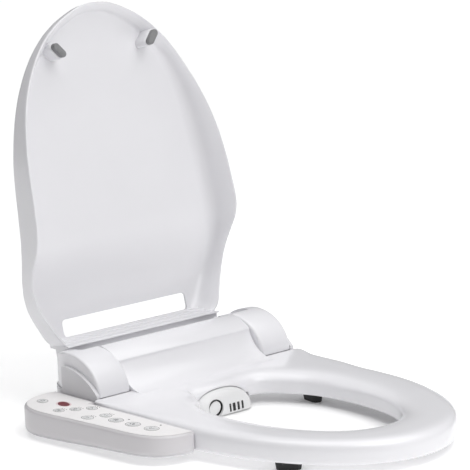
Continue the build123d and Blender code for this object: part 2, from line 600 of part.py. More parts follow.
lpins = None
for s in (-1, 1):
    p = cyl_x(0, HZ, PIN_LID_R, *sorted((s * 117.8, s * 137.9)))
    lpins = p if lpins is None else lpins + p
save(lpins, "lid_hinge_pins")

# ------------------------------------------------------------ control arm
arm_outer = [(-170.0, 24.0), (-188.0, 27.0), (-206.0, 24.5), (-225.0, 14.0), (-239.5, -3.5), (-247.0, -26.0), (-247.6, -52.0),
             (-243.6, -95.0), (-239.6, -140.0), (-236.2, -188.0), (-232.0, -218.0), (-224.0, -236.0), (-211.0, -248.5),
             (-195.0, -255.0), (-180.0, -257.0)]


def arm_face(z, inset=0.0):
    mid = (-205.0, -115.0)
    outer = []
    for i, (x, y) in enumerate(arm_outer):
        a = arm_outer[max(0, i - 1)]
        b = arm_outer[min(len(arm_outer) - 1, i + 1)]
        tx, ty = b[0] - a[0], b[1] - a[1]
        n = math.hypot(tx, ty)
        nx, ny = -ty / n, tx / n
        if (mid[0] - x) * nx + (mid[1] - y) * ny < 0:
            nx, ny = -nx, -ny
        outer.append((x + inset * nx, y + inset * ny))
    outer[0] = (-170.0 - inset, 24.0 - inset)
    ye = -257.0 + inset
    outer[-1] = (outer[-1][0], ye)
    inner = []
    for y in (ye, -240.0, -200.0, -150.0, -100.0, -62.0 + inset):
        inner.append((-seat_half(min(y, SEAT_REAR)) - 1.2 - inset, y))
    pts = [Vector(x, y, z) for x, y in outer]
    inn = [Vector(x, y, z) for x, y in inner]
    c = Vector(-170.0 - inset, -62.0 + inset, z)
    return face(Spline(*pts), Line(pts[-1], inn[0]), Spline(*inn), Line(inn[-1], c), Line(c, pts[0]))


# keys: name, x, y, length, width, turn
KEYS = [
    ("stop_button", -203.0, -37.0, 22.0, 13.0, 75.0),
    ("power_button", -212.0, -5.0, 15.0, 10.0, 65.0),
    ("seat_heat_button", -226.0, -56.0, 13.0, 9.0, 84.0),
    ("water_heat_button", -209.0, -68.0, 13.0, 9.0, 84.0),
    ("nozzle_clean_button", -192.0, -80.0, 13.0, 9.0, 84.0),
    ("position_button", -223.0, -110.0, 14.0, 10.0, 86.0),
    ("pressure_button", -202.0, -120.0, 14.0, 10.0, 86.0),
    ("dry_button", -207.0, -146.0, 17.0, 14.0, 86.0),
    ("bidet_button", -205.0, -176.0, 17.0, 14.0, 86.0),
    ("wash_button", -202.0, -208.0, 17.0, 14.0, 80.0),
]


def key_face(k, grow):
    n, x, y, a, b, t = k
    return Pos(x, y, 0) * Rot(0, 0, t) * Ellipse(a / 2 + grow, b / 2 + grow)


arm = up(arm_face(8.0), ARM_Z1 - 8.0)
arm_top = [e for e in arm.edges() if abs(e.bounding_box().min.Z - ARM_Z1) < 1e-6 and e.length > 200]
arm_top = sorted(arm_top, key=lambda e: e.bounding_box().min.X)[:1]
arm = fillet(arm_top, 2.5)
arm -= up(arm_face(0.0, 3.0), 35.4)
for x, y in ((-221.0, -10.0), (-188.0, -8.0), (-189.0, -212.0), (-221.0, -212.0)):
    arm += cyl_z(x, y, 3.2, 24.6, 36)
for k in KEYS:
    arm -= Pos(0, 0, 30) * extrude(key_face(k, KEY_GAP), amount=20)
ARM_SCREWS = [(-231.0, -70.0), (-190.0, 12.0), (-230.6, -150.0), (-190.0, -236.0)]
for x, y in ARM_SCREWS:
    arm += cyl_z(x, y, 4.4, 8.0, 36) - cyl_z(x, y, 2.05, 7, 22)
save(arm, "control_arm_housing")

low = up(arm_face(ARM_Z0, 0.6), 3.0)
for x, y in ARM_SCREWS:
    low -= cyl_z(x, y, 2.1, 0, 20)
    low -= cyl_z(x, y, 4.1, 0, 6.4)
save(low, "arm_lower_cover")
ascrews = None
for x, y in ARM_SCREWS:
    one = cyl_z(x, y, 2.0, 6.2, 20) + cyl_z(x, y, 3.9, 5.2, 6.38)
    ascrews = one if ascrews is None else ascrews + one
save(ascrews, "arm_screws")

overlay = up(arm_face(ARM_Z1 + 0.01, 3.6), 0.5)
for k in KEYS:
    overlay -= Pos(0, 0, 30) * extrude(key_face(k, KEY_GAP), amount=20)
save(overlay, "panel_overlay")

for k in KEYS:
    top = ARM_Z1 + 0.5 + KEY_PROUD
    cap = Pos(0, 0, 33.5) * extrude(key_face(k, 0.0), amount=top - 33.5)
    rim_e = cap.edges().sort_by(Axis.Z)[-1]
    cap = fillet(rim_e, 0.4)
    save(cap, k[0])

save(block(-226, -184, -216, 2, 23.0, 24.6), "panel_pcb")
tacts = None
for k in KEYS:
    n, x, y, a, b, t = k
    one = block(x - 3, x + 3, y - 3, y + 3, 24.6, 30.6) + cyl_z(x, y, 1.7, 30.5, 32.5)
    tacts = one if tacts is None else tacts + one
save(tacts, "tact_switches")
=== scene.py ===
import math

import bmesh
import bpy
import numpy as np
from mathutils import Matrix, Vector


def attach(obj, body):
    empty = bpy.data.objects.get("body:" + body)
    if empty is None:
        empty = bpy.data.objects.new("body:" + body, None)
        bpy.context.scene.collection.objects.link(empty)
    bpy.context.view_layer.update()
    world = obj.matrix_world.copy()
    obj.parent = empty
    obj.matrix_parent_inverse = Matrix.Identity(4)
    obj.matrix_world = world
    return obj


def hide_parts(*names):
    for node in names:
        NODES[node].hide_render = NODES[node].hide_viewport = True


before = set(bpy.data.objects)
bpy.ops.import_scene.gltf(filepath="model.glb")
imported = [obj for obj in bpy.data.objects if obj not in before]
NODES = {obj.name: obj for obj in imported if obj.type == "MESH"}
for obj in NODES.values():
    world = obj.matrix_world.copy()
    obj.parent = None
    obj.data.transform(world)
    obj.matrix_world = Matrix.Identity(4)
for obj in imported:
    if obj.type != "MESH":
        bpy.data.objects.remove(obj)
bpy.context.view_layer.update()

MM = 0.001
HZ = 42.0                      # hinge axis height
TILT = math.radians(12.5)      # how far the open lid leans back


# ------------------------------------------------------------------ curves
def pchip(knots):
    """Smooth, monotone-between-knots curve through (x, y) pairs."""
    k = np.array(knots, float)
    x, y = k[:, 0], k[:, 1]
    h = np.diff(x)
    m = np.diff(y) / h
    d = np.zeros_like(y)
    d[0], d[-1] = m[0], m[-1]
    for i in range(1, len(x) - 1):
        if m[i - 1] * m[i] > 0:
            w1, w2 = 2 * h[i] + h[i - 1], h[i] + 2 * h[i - 1]
            d[i] = (w1 + w2) / (w1 / m[i - 1] + w2 / m[i])

    def f(q):
        q = np.clip(np.asarray(q, float), x[0], x[-1])
        i = np.clip(np.searchsorted(x, q) - 1, 0, len(h) - 1)
        t = (q - x[i]) / h[i]
        return (y[i] * (1 + 2 * t) * (1 - t) ** 2 + h[i] * d[i] * t * (1 - t) ** 2
                + y[i + 1] * t * t * (3 - 2 * t) + h[i] * d[i + 1] * t * t * (t - 1))
    return f


def catmull(pts, per=14):
    """Centripetal spline through points, as a fine polyline."""
    p = np.asarray(pts, float)
    e = np.vstack([2 * p[0] - p[1], p, 2 * p[-1] - p[-2]])
    out = []
    for i in range(1, len(e) - 2):
        q = e[i - 1:i + 3]
        t = [0.0]
        for a, b in zip(q[:-1], q[1:]):
            t.append(t[-1] + max(1e-6, np.linalg.norm(b - a)) ** 0.5)
        for u in np.linspace(t[1], t[2], per, endpoint=False):
            a = [(t[j + 1] - u) / (t[j + 1] - t[j]) * q[j] + (u - t[j]) / (t[j + 1] - t[j]) * q[j + 1] for j in range(3)]
            b = [(t[j + 2] - u) / (t[j + 2] - t[j]) * a[j] + (u - t[j]) / (t[j + 2] - t[j]) * a[j + 1] for j in range(2)]
            out.append((t[2] - u) / (t[2] - t[1]) * b[0] + (u - t[1]) / (t[2] - t[1]) * b[1])
    out.append(p[-1])
    return np.array(out)


def arclen(poly):
    return np.concatenate([[0], np.cumsum(np.linalg.norm(np.diff(poly, axis=0), axis=1))])


def along(poly, s):
    """Points of a polyline at arc lengths s."""
    a = arclen(poly)
    return np.stack([np.interp(s, a, poly[:, k]) for k in range(poly.shape[1])], axis=-1)


def resample(poly, n):
    return along(poly, np.linspace(0, arclen(poly)[-1], n))


def inward(loop):
    """Unit inward normals of a closed plan loop."""
    t = np.roll(loop, -1, 0) - np.roll(loop, 1, 0)
    n = np.stack([-t[:, 1], t[:, 0]], 1)
    n /= np.maximum(1e-9, np.linalg.norm(n, axis=1))[:, None]
    area = 0.5 * np.sum(loop[:, 0] * np.roll(loop[:, 1], -1) - np.roll(loop[:, 0], -1) * loop[:, 1])
    return n if area > 0 else -n


def smooth(u):
    u = np.clip(u, 0, 1)
    return u * u * (3 - 2 * u)


# ------------------------------------------------------------------ meshes
def make(name, verts, faces, sharp=0.6, merge=0.0, recalc=True):
    """Mesh object from millimetre points."""
    me = bpy.data.meshes.new(name)
    me.from_pydata([tuple(float(c) * MM for c in p) for p in verts], [], [tuple(int(i) for i in f) for f in faces])
    bm = bmesh.new()
    bm.from_mesh(me)
    if merge > 0:
        bmesh.ops.remove_doubles(bm, verts=bm.verts, dist=merge * MM)
        bmesh.ops.dissolve_degenerate(bm, edges=bm.edges, dist=1e-7)
    if recalc:
        bmesh.ops.recalc_face_normals(bm, faces=bm.faces)
    for f in bm.faces:
        f.smooth = True
    bm.to_mesh(me)
    bm.free()
    if sharp:
        me.set_sharp_from_angle(angle=sharp)
    o = bpy.data.objects.new(name, me)
    bpy.context.scene.collection.objects.link(o)
    return o


def tube(loops, closed=True, cap0=False, cap1=False, ring=True):
    """Quads between successive loops of equal length."""
    n = len(loops[0])
    verts = np.concatenate(loops)
    faces = []
    m = n if ring else n - 1
    for k in range(len(loops) - 1):
        for i in range(m):
            j = (i + 1) % n
            faces.append((k * n + i, k * n + j, (k + 1) * n + j, (k + 1) * n + i))
    if closed and not (cap0 or cap1):
        k = len(loops) - 1
        for i in range(m):
            j = (i + 1) % n
            faces.append((k * n + i, k * n + j, j, i))
    if cap0:
        faces.append(tuple(range(n))[::-1])
    if cap1:
        faces.append(tuple((len(loops) - 1) * n + i for i in range(n)))
    return verts, faces


def merge_parts(parts):
    verts, faces, off = [], [], 0
    for v, f in parts:
        verts.append(np.asarray(v, float))
        faces += [tuple(i + off for i in q) for q in f]
        off += len(v)
    return np.concatenate(verts), faces


def bake(o):
    """Applies the object's modifiers to its mesh."""
    dg = bpy.context.evaluated_depsgraph_get()
    dg.update()
    me = bpy.data.meshes.new_from_object(o.evaluated_get(dg))
    o.modifiers.clear()
    o.data = me
    return o


def cut(o, cutters):
    """Subtracts cutter objects and removes them."""
    for c in cutters:
        m = o.modifiers.new("cut", "BOOLEAN")
        m.operation, m.solver, m.object = "DIFFERENCE", "EXACT", c
    bake(o)
    for c in cutters:
        bpy.data.objects.remove(c)
    return o


def subdivide(o, levels):
    m = o.modifiers.new("sub", "SUBSURF")
    m.levels = m.render_levels = levels
    return o


def bevel(o, width, segments=3, angle=0.6):
    m = o.modifiers.new("bev", "BEVEL")
    m.width, m.segments, m.limit_method, m.angle_limit = width * MM, segments, "ANGLE", angle
    m.harden_normals = False
    return o


def prism(axis, outline, a, b, round_ends=0.0, steps=3):
    """Closed solid: a plan outline swept along an axis from a to b, with rounded end edges."""
    out = np.asarray(outline, float)
    nrm = inward(out)
    st = []
    if round_ends > 0:
        for i in range(steps + 1):
            q = math.pi / 2 * i / steps
            st.append((a + round_ends * (1 - math.sin(q)), round_ends * (1 - math.cos(q))))
        st = st[::-1] if False else st
        st = sorted(((a + round_ends * (1 - math.cos(math.pi / 2 * i / steps)), round_ends * (1 - math.sin(math.pi / 2 * i / steps))) for i in range(steps + 1)))
        st += sorted(((b - round_ends * (1 - math.cos(math.pi / 2 * i / steps)), round_ends * (1 - math.sin(math.pi / 2 * i / steps))) for i in range(steps + 1)))
    else:
        st = [(a, 0.0), (b, 0.0)]
    loops = []
    for pos, inset in st:
        q = out + nrm * inset
        p = np.full(len(q), pos)
        if axis == "x":
            loops.append(np.stack([p, q[:, 0], q[:, 1]], 1))
        elif axis == "y":
            loops.append(np.stack([q[:, 0], p, q[:, 1]], 1))
        else:
            loops.append(np.stack([q[:, 0], q[:, 1], p], 1))
    return tube(loops, cap0=True, cap1=True)


def rounded(x0, x1, y0, y1, r, n=6):
    """Rounded rectangle loop."""
    pts = []
    for cx, cy, a in ((x1 - r, y1 - r, 0), (x0 + r, y1 - r, 90), (x0 + r, y0 + r, 180), (x1 - r, y0 + r, 270)):
        for i in range(n + 1):
            t = math.radians(a + 90 * i / n)
            pts.append((cx + r * math.cos(t), cy + r * math.sin(t)))
    return np.array(pts)


def capsule(cx, cy, length, width, turn, n=10):
    """Stadium loop, long axis turned by turn degrees."""
    r, h = width / 2, (length - width) / 2
    t = math.radians(turn)
    pts = []
    for side, a0 in ((1, -90), (-1, 90)):
        for i in range(n + 1):
            a = math.radians(a0 + 180 * i / n)
            x, y = side * h + r * math.cos(a), r * math.sin(a)
            pts.append((cx + x * math.cos(t) - y * math.sin(t), cy + x * math.sin(t) + y * math.cos(t)))
    return np.array(pts)


def ellipse(cx, cy, a, b, turn, n=40):
    t = math.radians(turn)
    return np.array([(cx + a * math.cos(u) * math.cos(t) - b * math.sin(u) * math.sin(t),
                      cy + a * math.cos(u) * math.sin(t) + b * math.sin(u) * math.cos(t))
                     for u in np.linspace(0, 2 * math.pi, n, endpoint=False)])


# --------------------------------------------------------------- materials
def plastic(name, base, rough, coat=0.0, tint=0.02, scale=30.0, bump=0.02, bump_scale=900.0, spec=0.5, speck=0.0):
    """Moulded plastic: faint colour drift, uneven gloss and a fine moulded grain."""
    m = bpy.data.materials.new(name)
    m.use_nodes = True
    nt = m.node_tree
    b = nt.nodes["Principled BSDF"]
    tc = nt.nodes.new("ShaderNodeTexCoord")
    n1 = nt.nodes.new("ShaderNodeTexNoise")
    n1.inputs["Scale"].default_value = scale
    n1.inputs["Detail"].default_value = 3
    nt.links.new(tc.outputs["Object"], n1.inputs["Vector"])
    ramp = nt.nodes.new("ShaderNodeValToRGB")
    lo = [max(0, c * (1 - tint)) for c in base]
    hi = [min(1, c * (1 + tint)) for c in base]
    ramp.color_ramp.elements[0].position, ramp.color_ramp.elements[1].position = 0.3, 0.7
    ramp.color_ramp.elements[0].color = (*lo, 1)
    ramp.color_ramp.elements[1].color = (*hi, 1)
    nt.links.new(n1.outputs["Fac"], ramp.inputs["Fac"])
    last = ramp.outputs["Color"]
    n2 = nt.nodes.new("ShaderNodeTexNoise")
    n2.inputs["Scale"].default_value = bump_scale
    n2.inputs["Detail"].default_value = 2
    nt.links.new(tc.outputs["Object"], n2.inputs["Vector"])
    if speck > 0:
        mix = nt.nodes.new("ShaderNodeMix")
        mix.data_type, mix.blend_type = "RGBA", "MULTIPLY"
        mix.inputs["Factor"].default_value = speck
        r2 = nt.nodes.new("ShaderNodeValToRGB")
        r2.color_ramp.elements[0].position, r2.color_ramp.elements[1].position = 0.35, 0.6
        r2.color_ramp.elements[0].color = (0.6, 0.6, 0.6, 1)
        r2.color_ramp.elements[1].color = (1, 1, 1, 1)
        nt.links.new(n2.outputs["Fac"], r2.inputs["Fac"])
        nt.links.new(last, mix.inputs["A"])
        nt.links.new(r2.outputs["Color"], mix.inputs["B"])
        last = mix.outputs["Result"]
    nt.links.new(last, b.inputs["Base Color"])
    rr = nt.nodes.new("ShaderNodeMapRange")
    rr.inputs["To Min"].default_value = max(0.02, rough * 0.85)
    rr.inputs["To Max"].default_value = min(1, rough * 1.2)
    nt.links.new(n1.outputs["Fac"], rr.inputs["Value"])
    nt.links.new(rr.outputs["Result"], b.inputs["Roughness"])
    bp = nt.nodes.new("ShaderNodeBump")
    bp.inputs["Strength"].default_value = bump
    bp.inputs["Distance"].default_value = 0.0006
    nt.links.new(n2.outputs["Fac"], bp.inputs["Height"])
    nt.links.new(bp.outputs["Normal"], b.inputs["Normal"])
    b.inputs["Specular IOR Level"].default_value = spec
    if coat > 0:
        b.inputs["Coat Weight"].default_value = coat
        b.inputs["Coat Roughness"].default_value = 0.12
    return m


def metal(name, base, rough, stretch=(4, 200, 200)):
    """Brushed or turned metal with fine streaks."""
    m = bpy.data.materials.new(name)
    m.use_nodes = True
    nt = m.node_tree
    b = nt.nodes["Principled BSDF"]
    b.inputs["Metallic"].default_value = 1.0
    tc = nt.nodes.new("ShaderNodeTexCoord")
    mp = nt.nodes.new("ShaderNodeMapping")
    mp.inputs["Scale"].default_value = stretch
    nt.links.new(tc.outputs["Object"], mp.inputs["Vector"])
    n = nt.nodes.new("ShaderNodeTexNoise")
    n.inputs["Scale"].default_value = 12
    n.inputs["Detail"].default_value = 4
    nt.links.new(mp.outputs["Vector"], n.inputs["Vector"])
    ramp = nt.nodes.new("ShaderNodeValToRGB")
    ramp.color_ramp.elements[0].color = (*[c * 0.85 for c in base], 1)
    ramp.color_ramp.elements[1].color = (*[min(1, c * 1.1) for c in base], 1)
    nt.links.new(n.outputs["Fac"], ramp.inputs["Fac"])
    nt.links.new(ramp.outputs["Color"], b.inputs["Base Color"])
    rr = nt.nodes.new("ShaderNodeMapRange")
    rr.inputs["To Min"].default_value = rough * 0.8
    rr.inputs["To Max"].default_value = min(1, rough * 1.3)
    nt.links.new(n.outputs["Fac"], rr.inputs["Value"])
    nt.links.new(rr.outputs["Result"], b.inputs["Roughness"])
    return m


WHITE = (0.84, 0.835, 0.86)
M_WHITE = plastic("white_gloss", WHITE, 0.30, coat=0.25, tint=0.006, scale=14, bump=0.010)
M_SEAT = plastic("white_seat", (0.845, 0.84, 0.865), 0.24, coat=0.35, tint=0.006, scale=14, bump=0.008)
M_HOOD = plastic("white_satin", (0.78, 0.78, 0.785), 0.34, tint=0.01, scale=40, bump=0.012)
M_BASE = plastic("base_grey", (0.74, 0.735, 0.755), 0.40, tint=0.012, scale=20, bump=0.03)
M_ARM = plastic("arm_grey", (0.648, 0.630, 0.648), 0.36, coat=0.1, tint=0.01, scale=20, bump=0.02)
M_PANEL = plastic("panel_film", (0.88, 0.865, 0.865), 0.55, tint=0.012, scale=60, bump=0.16, bump_scale=1500, speck=0.14)
M_STOP = plastic("stop_red", (0.17, 0.014, 0.022), 0.42, coat=0.0, tint=0.10, scale=120, bump=0.02)
M_STOPRING = plastic("stop_ring", (0.80, 0.66, 0.67), 0.40, tint=0.03, scale=120, bump=0.02)
M_KEY = plastic("key_grey", (0.70, 0.70, 0.705), 0.45, tint=0.02, scale=120, bump=0.06)
M_INK = plastic("ink_grey", (0.07, 0.075, 0.08), 0.6, tint=0.1, scale=300, bump=0.03)
M_RUBBER = plastic("rubber_black", (0.022, 0.022, 0.023), 0.62, tint=0.15, scale=150, bump=0.12, bump_scale=700)
M_PAD = plastic("rubber_grey", (0.235, 0.235, 0.24), 0.62, tint=0.10, scale=200, bump=0.2, bump_scale=900)
M_BLACK = plastic("black_plastic", (0.02, 0.02, 0.021), 0.5, tint=0.15, scale=80, bump=0.06)
M_DUCT = plastic("duct_dark", (0.03, 0.03, 0.031), 0.6, tint=0.15, scale=80, bump=0.06)
M_TANK = plastic("tank_plastic", (0.55, 0.56, 0.54), 0.45, tint=0.05, scale=60, bump=0.05)
M_ACETAL = plastic("acetal", (0.76, 0.76, 0.74), 0.38, tint=0.02, scale=90, bump=0.02)
M_PCB = plastic("circuit_green", (0.02, 0.16, 0.05), 0.45, tint=0.2, scale=400, bump=0.05)
M_STEEL = metal("steel", (0.56, 0.56, 0.57), 0.30)
M_BRASS = metal("brass", (0.68, 0.52, 0.24), 0.28, (200, 20, 200))
M_FOIL = metal("foil", (0.75, 0.75, 0.76), 0.35, (60, 60, 60))


def paint(o, mat):
    o.data.materials.clear()
    o.data.materials.append(mat)
    return o


def piece(o, body, mat, slot, *nodes):
    """Finishes a new piece: material, body, the nodes it stands for."""
    paint(o, mat)
    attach(o, body)
    if nodes:
        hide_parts(*nodes)
    return o


# --------------------------------------------------------------------- lid
LID_T = 3.5
lid_right = catmull([(0, -4), (45, -4), (80, -4), (89, -3.4), (94, 0), (97, 8), (100, 20), (105, 31), (115, 41), (127, 50.5), (137.2, 60), (147.5, 80),
                     (156.6, 100), (163.4, 120), (168.2, 140), (171.4, 160), (172.4, 180), (171.6, 200), (170.2, 220), (168.8, 240), (166.6, 270),
                     (162.9, 300), (156.4, 330), (147.2, 360), (134.2, 390), (116.6, 420), (100.4, 440), (84.6, 455), (66.6, 468), (47.6, 478),
                     (25.4, 486.6), (12.0, 488.8), (0, 489.4)])
back = pchip([(-6, 66.4), (15, 67.8), (50, 69.8), (80, 71.4), (100, 71.0), (120, 66.9), (140, 59.9), (160, 52.1), (180, 45.9), (200, 42.9),
              (240, 41.5), (300, 39.6), (360, 37.0), (420, 33.0), (455, 30.4), (490, 27.0)])
rim_fn = pchip([(-6, 62.6), (10, 62.0), (20, 59.7), (30, 55.4), (40, 47.6), (49, 39.6), (60, 37.0), (80, 40.2), (100, 42.6), (120, 40.6),
                (140, 33.4), (160, 20.0), (180, 5.4), (200, -1.2), (220, -2.5), (245, -2.5), (270, -1.5), (300, 0.4), (330, 3.2), (360, 6.8),
                (390, 9.8), (420, 11.2), (455, 12.2), (490, 11.6)])


def lid_world(p):
    x, l, h = p[:, 0], p[:, 1], p[:, 2]
    return np.stack([x, l * math.sin(TILT) + h * math.cos(TILT), HZ + l * math.cos(TILT) - h * math.sin(TILT)], 1)


LID_M = 150
half = resample(lid_right, LID_M + 1)
lid_plan = np.concatenate([half, (half * [-1, 1])[::-1][1:-1]])
lid_n = inward(lid_plan)


def lid_loop(inset, height):
    """A loop at an inset, returned beside the height argument as given."""
    q = lid_plan + lid_n * np.asarray(inset)[..., None] if np.ndim(inset) else lid_plan + lid_n * inset
    return q, height


def lid_loops():
    l0 = lid_plan[:, 1]
    rim = np.minimum(rim_fn(l0), back(l0) - 4.0)
    wall = back(l0) - rim
    rc = np.minimum(9.5, 0.28 * wall) * (0.45 + 0.55 * smooth((l0 - 90.0) / 90.0))
    draft = np.minimum(0.6, 0.05 * wall)
    loops = []

    def add(inset, h):
        q = lid_plan + lid_n * np.broadcast_to(inset, l0.shape)[:, None]
        loops.append(np.column_stack([q, np.broadcast_to(h, l0.shape)]))

    # back panel, from the spine out to the corner
    spine_lo, spine_hi = 70.0, 330.0

    def panel(s, drop, edge):
        q0 = lid_plan + lid_n * edge[:, None]
        c = np.stack([np.zeros_like(l0), np.clip(q0[:, 1], spine_lo, spine_hi)], 1)
        q = c + (q0 - c) * s
        loops.append(np.column_stack([q, back(q[:, 1]) - drop]))

    outer_edge = draft + rc
    for s in (0.0, 0.12, 0.25, 0.4, 0.55, 0.7, 0.83, 0.93):
        panel(s, 0.0, outer_edge)
    for k in (90, 70, 50, 30, 12):
        a = math.radians(k)
        ins = draft + rc * (1 - math.cos(a))
        q = lid_plan + lid_n * ins[:, None]
        loops.append(np.column_stack([q, back(q[:, 1]) - rc * (1 - math.sin(a))]))
    for u in (0.8, 0.5, 0.22):
        add(draft * u, rim + (wall - rc) * u)
    add(0.05, rim + np.minimum(2.2, 0.12 * wall))
    add(0.5, rim + 0.45)
    add(1.7, rim)
    add(2.95, rim + 0.45)
    # inner wall and panel
    t_in = np.minimum(LID_T, 0.7 * wall)
    depth = wall - t_in
    top = smooth((l0 - 400.0) / 50.0)                    # crisp corner round the tip, soft further down
    ri = np.minimum(17.0, 0.5 * depth) * (1 - top) + np.minimum(3.5, 0.3 * depth) * top
    add(3.45, rim + np.minimum(2.0, 0.12 * depth))
    d2 = np.minimum(9.0, 0.26 * depth) * (1 - top) + np.minimum(9.0, 0.6 * depth) * top
    for u in (0.25, 0.55, 0.85):
        add(3.5 + d2 * u, rim + (depth - ri) * u)
    for k in (10, 28, 46, 64, 82):
        a = math.radians(k)
        ins = 3.5 + d2 + ri * (1 - math.cos(a))
        q = lid_plan + lid_n * ins[:, None]
        loops.append(np.column_stack([q, back(q[:, 1]) - t_in - ri * (1 - math.sin(a))]))
    inner_edge = 3.5 + d2 + ri
    for s in (1.0, 0.93, 0.83, 0.7, 0.55, 0.4, 0.25, 0.12, 0.0):
        q0 = lid_plan + lid_n * inner_edge[:, None]
        c = np.stack([np.zeros_like(l0), np.clip(q0[:, 1], spine_lo, spine_hi)], 1)
        q = c + (q0 - c) * s
        loops.append(np.column_stack([q, back(q[:, 1]) - LID_T]))
    return loops


loops = lid_loops()
v, f = tube(loops, closed=False)
f += []
v = lid_world(v)
lid = make("lid_shell_skin", v, f, sharp=0.0, merge=0.02)
subdivide(lid, 1)
bake(lid)
# hand slot above the hinge
sv, sf = prism("z", rounded(-106.5, 106.5, 61.5, 84.5, 5.0), 30, 95)
slot_cut = make("slot_cut", lid_world(sv), sf, sharp=0)
cut(lid, [slot_cut])
lid.data.set_sharp_from_angle(angle=0.7)
piece(lid, "lid", M_WHITE, "white_plastic", "lid_shell")

# stepped flange under the slot, reaching forward to the slit behind the hub
steps = [(61.3, 70.2), (61.3, 60.4), (60.9, 60.0), (58.6, 59.8), (58.4, 50.6), (58.0, 50.2), (55.4, 50.0), (55.2, 41.0), (54.8, 40.6),
         (52.2, 40.4), (52.0, 31.6), (51.4, 31.0), (49.9, 30.8), (49.5, 31.4), (49.4, 36.5), (41.5, 38.0), (41.5, 44.0), (50.0, 60.0), (52.5, 70.2)]
lv, lf = prism("x", steps, -131.0, 131.0, 0.6)
lip = make("lid_lip", lid_world(lv), lf, sharp=0.5)
piece(lip, "lid", M_WHITE, "white_plastic")

BUMP = [(79.0, 432.0, 49.0), (-79.0, 432.0, -49.0)]
parts, pads = [], []
for x, l, turn in BUMP:
    bv, bf = prism("z", capsule(x, l, 26, 12, turn), 8.0, 30.0, 1.4)
    parts.append((lid_world(bv), bf))
    pv, pf = prism("z", capsule(x, l, 23, 9.5, turn), 0.2, 8.2, 1.4)
    pads.append((lid_world(pv), pf))
v, f = merge_parts(parts)
boss = make("lid_bumper_bosses", v, f)
piece(boss, "lid", M_WHITE, "white_plastic")
v, f = merge_parts(pads)
pad = make("lid_bumper_pads", v, f)
piece(pad, "lid", M_PAD, "rubber_grey", "lid_bumpers")

parts = []
for s in (-1, 1):
    prof = [(2.0, 9.6), (2.0, 58.0), (55.0, 60.0), (55.0, 67.6), (-5.6, 65.2)] + [(10 * math.cos(math.radians(a)), 10 * math.sin(math.radians(a))) for a in range(170, 371, 14)]
    a, b = sorted((s * 121.7, s * 125.7))
    av, af = prism("x", prof, a, b, 1.0)
    parts.append((lid_world(av), af))
v, f = merge_parts(parts)
arms = make("lid_hinge_arms", v, f)
piece(arms, "lid", M_WHITE, "white_plastic")

# -------------------------------------------------------------------- seat
SEAT_TOP, SEAT_REAR, SEAT_BOT = 41.5, -62.6, 12.0


def seat_half(y):
    k = (y + 222.0) / (SEAT_REAR + 222.0)
    return 173.5 + 3.5 * k * k


outer_pts = [(x, SEAT_REAR) for x in (0, 20, 40, 60, 80, 100, 120, 140, 155, 166)]
outer_pts += [(171.5, SEAT_REAR - 0.5), (175.3, SEAT_REAR - 2.4), (176.7, SEAT_REAR - 6.5)]
outer_pts += [(seat_half(y), y) for y in (-78, -95, -120, -150, -185, -222)]
outer_pts += [(173.5 * math.cos(math.radians(a)), -222 - 257 * math.sin(math.radians(a))) for a in (8, 16, 24, 32, 40, 48, 56, 64, 71, 77, 82, 86, 90)]
outer_poly = catmull(outer_pts)
outer_s = arclen(outer_poly)


def s_at(px, py):
    return outer_s[np.argmin((outer_poly[:, 0] - px) ** 2 + (outer_poly[:, 1] - py) ** 2)]


OP_W, OP_YC, OP_YR, OP_YF = 99.0, -240.0, -121.0, -402.0


def opening(phi):
    c, s = np.cos(phi), np.sin(phi)
    k = np.where(s > 0, 2 / 2.6, 2 / 2.2)                 # fuller at the rear than at the front
    x = OP_W * np.sign(c) * np.abs(c) ** k
    ly = np.where(s > 0, OP_YR - OP_YC, OP_YC - OP_YF)
    return np.stack([x, OP_YC + ly * np.sign(s) * np.abs(s) ** k], -1)


# outline of the hood in the nozzle station: steep on its left, falling away on its right
HX, HZ0, HA, HB = -9.0, 2.0, 47.0, 31.8


def dome(x, shrink=0.0):
    x = np.asarray(x, float)
    u = np.clip(np.abs(x - HX) / (HA - shrink), 0, 1)
    p = np.where(x < HX, 2.7, 2.15)
    return HZ0 + (HB - shrink) * (1 - u ** p) ** (1 / p)


phi_key = np.radians([90, 64, 40, 20, 0, -20, -45, -70, -90])
s_key = [0, 0, s_at(176, -66), s_at(176.0, -135), s_at(173.5, -222),
         s_at(173.5 * math.cos(math.radians(20)), -222 - 257 * math.sin(math.radians(20))),
         s_at(173.5 * math.cos(math.radians(46)), -222 - 257 * math.sin(math.radians(46))),
         s_at(173.5 * math.cos(math.radians(71)), -222 - 257 * math.sin(math.radians(71))), outer_s[-1]]
lead = [0.0 if i < 2 else s_key[i] - float(opening(q)[0]) for i, q in enumerate(phi_key)]
s_of_phi = pchip(list(zip([-q for q in phi_key], lead)))
# on the rear edge each ray runs straight back
phis = np.radians(np.concatenate([np.linspace(90, 58, 30), np.linspace(57.2, 40, 26), np.linspace(39, -88, 84), [-90]]))
in_half = opening(phis)
s_half = in_half[:, 0] + s_of_phi(-phis)
out_half = along(outer_poly, s_half)
in_half[0, 0] = out_half[0, 0] = in_half[-1, 0] = out_half[-1, 0] = 0.0


def both(h):
    return np.concatenate([h, (h * [-1, 1])[::-1][1:-1]])


p_in, p_out = both(in_half), both(out_half)
# the edge steps back round the hood
notch = smooth((p_in[:, 0] + 64.0) / 7.0) * smooth((84.0 - p_in[:, 0]) / 44.0) * (p_in[:, 1] > -200)
p_in[:, 1] += notch * np.maximum(0.0, -118.6 - p_in[:, 1])
ray = p_out - p_in
width = np.linalg.norm(ray, axis=1)
ray = ray / width[:, None]
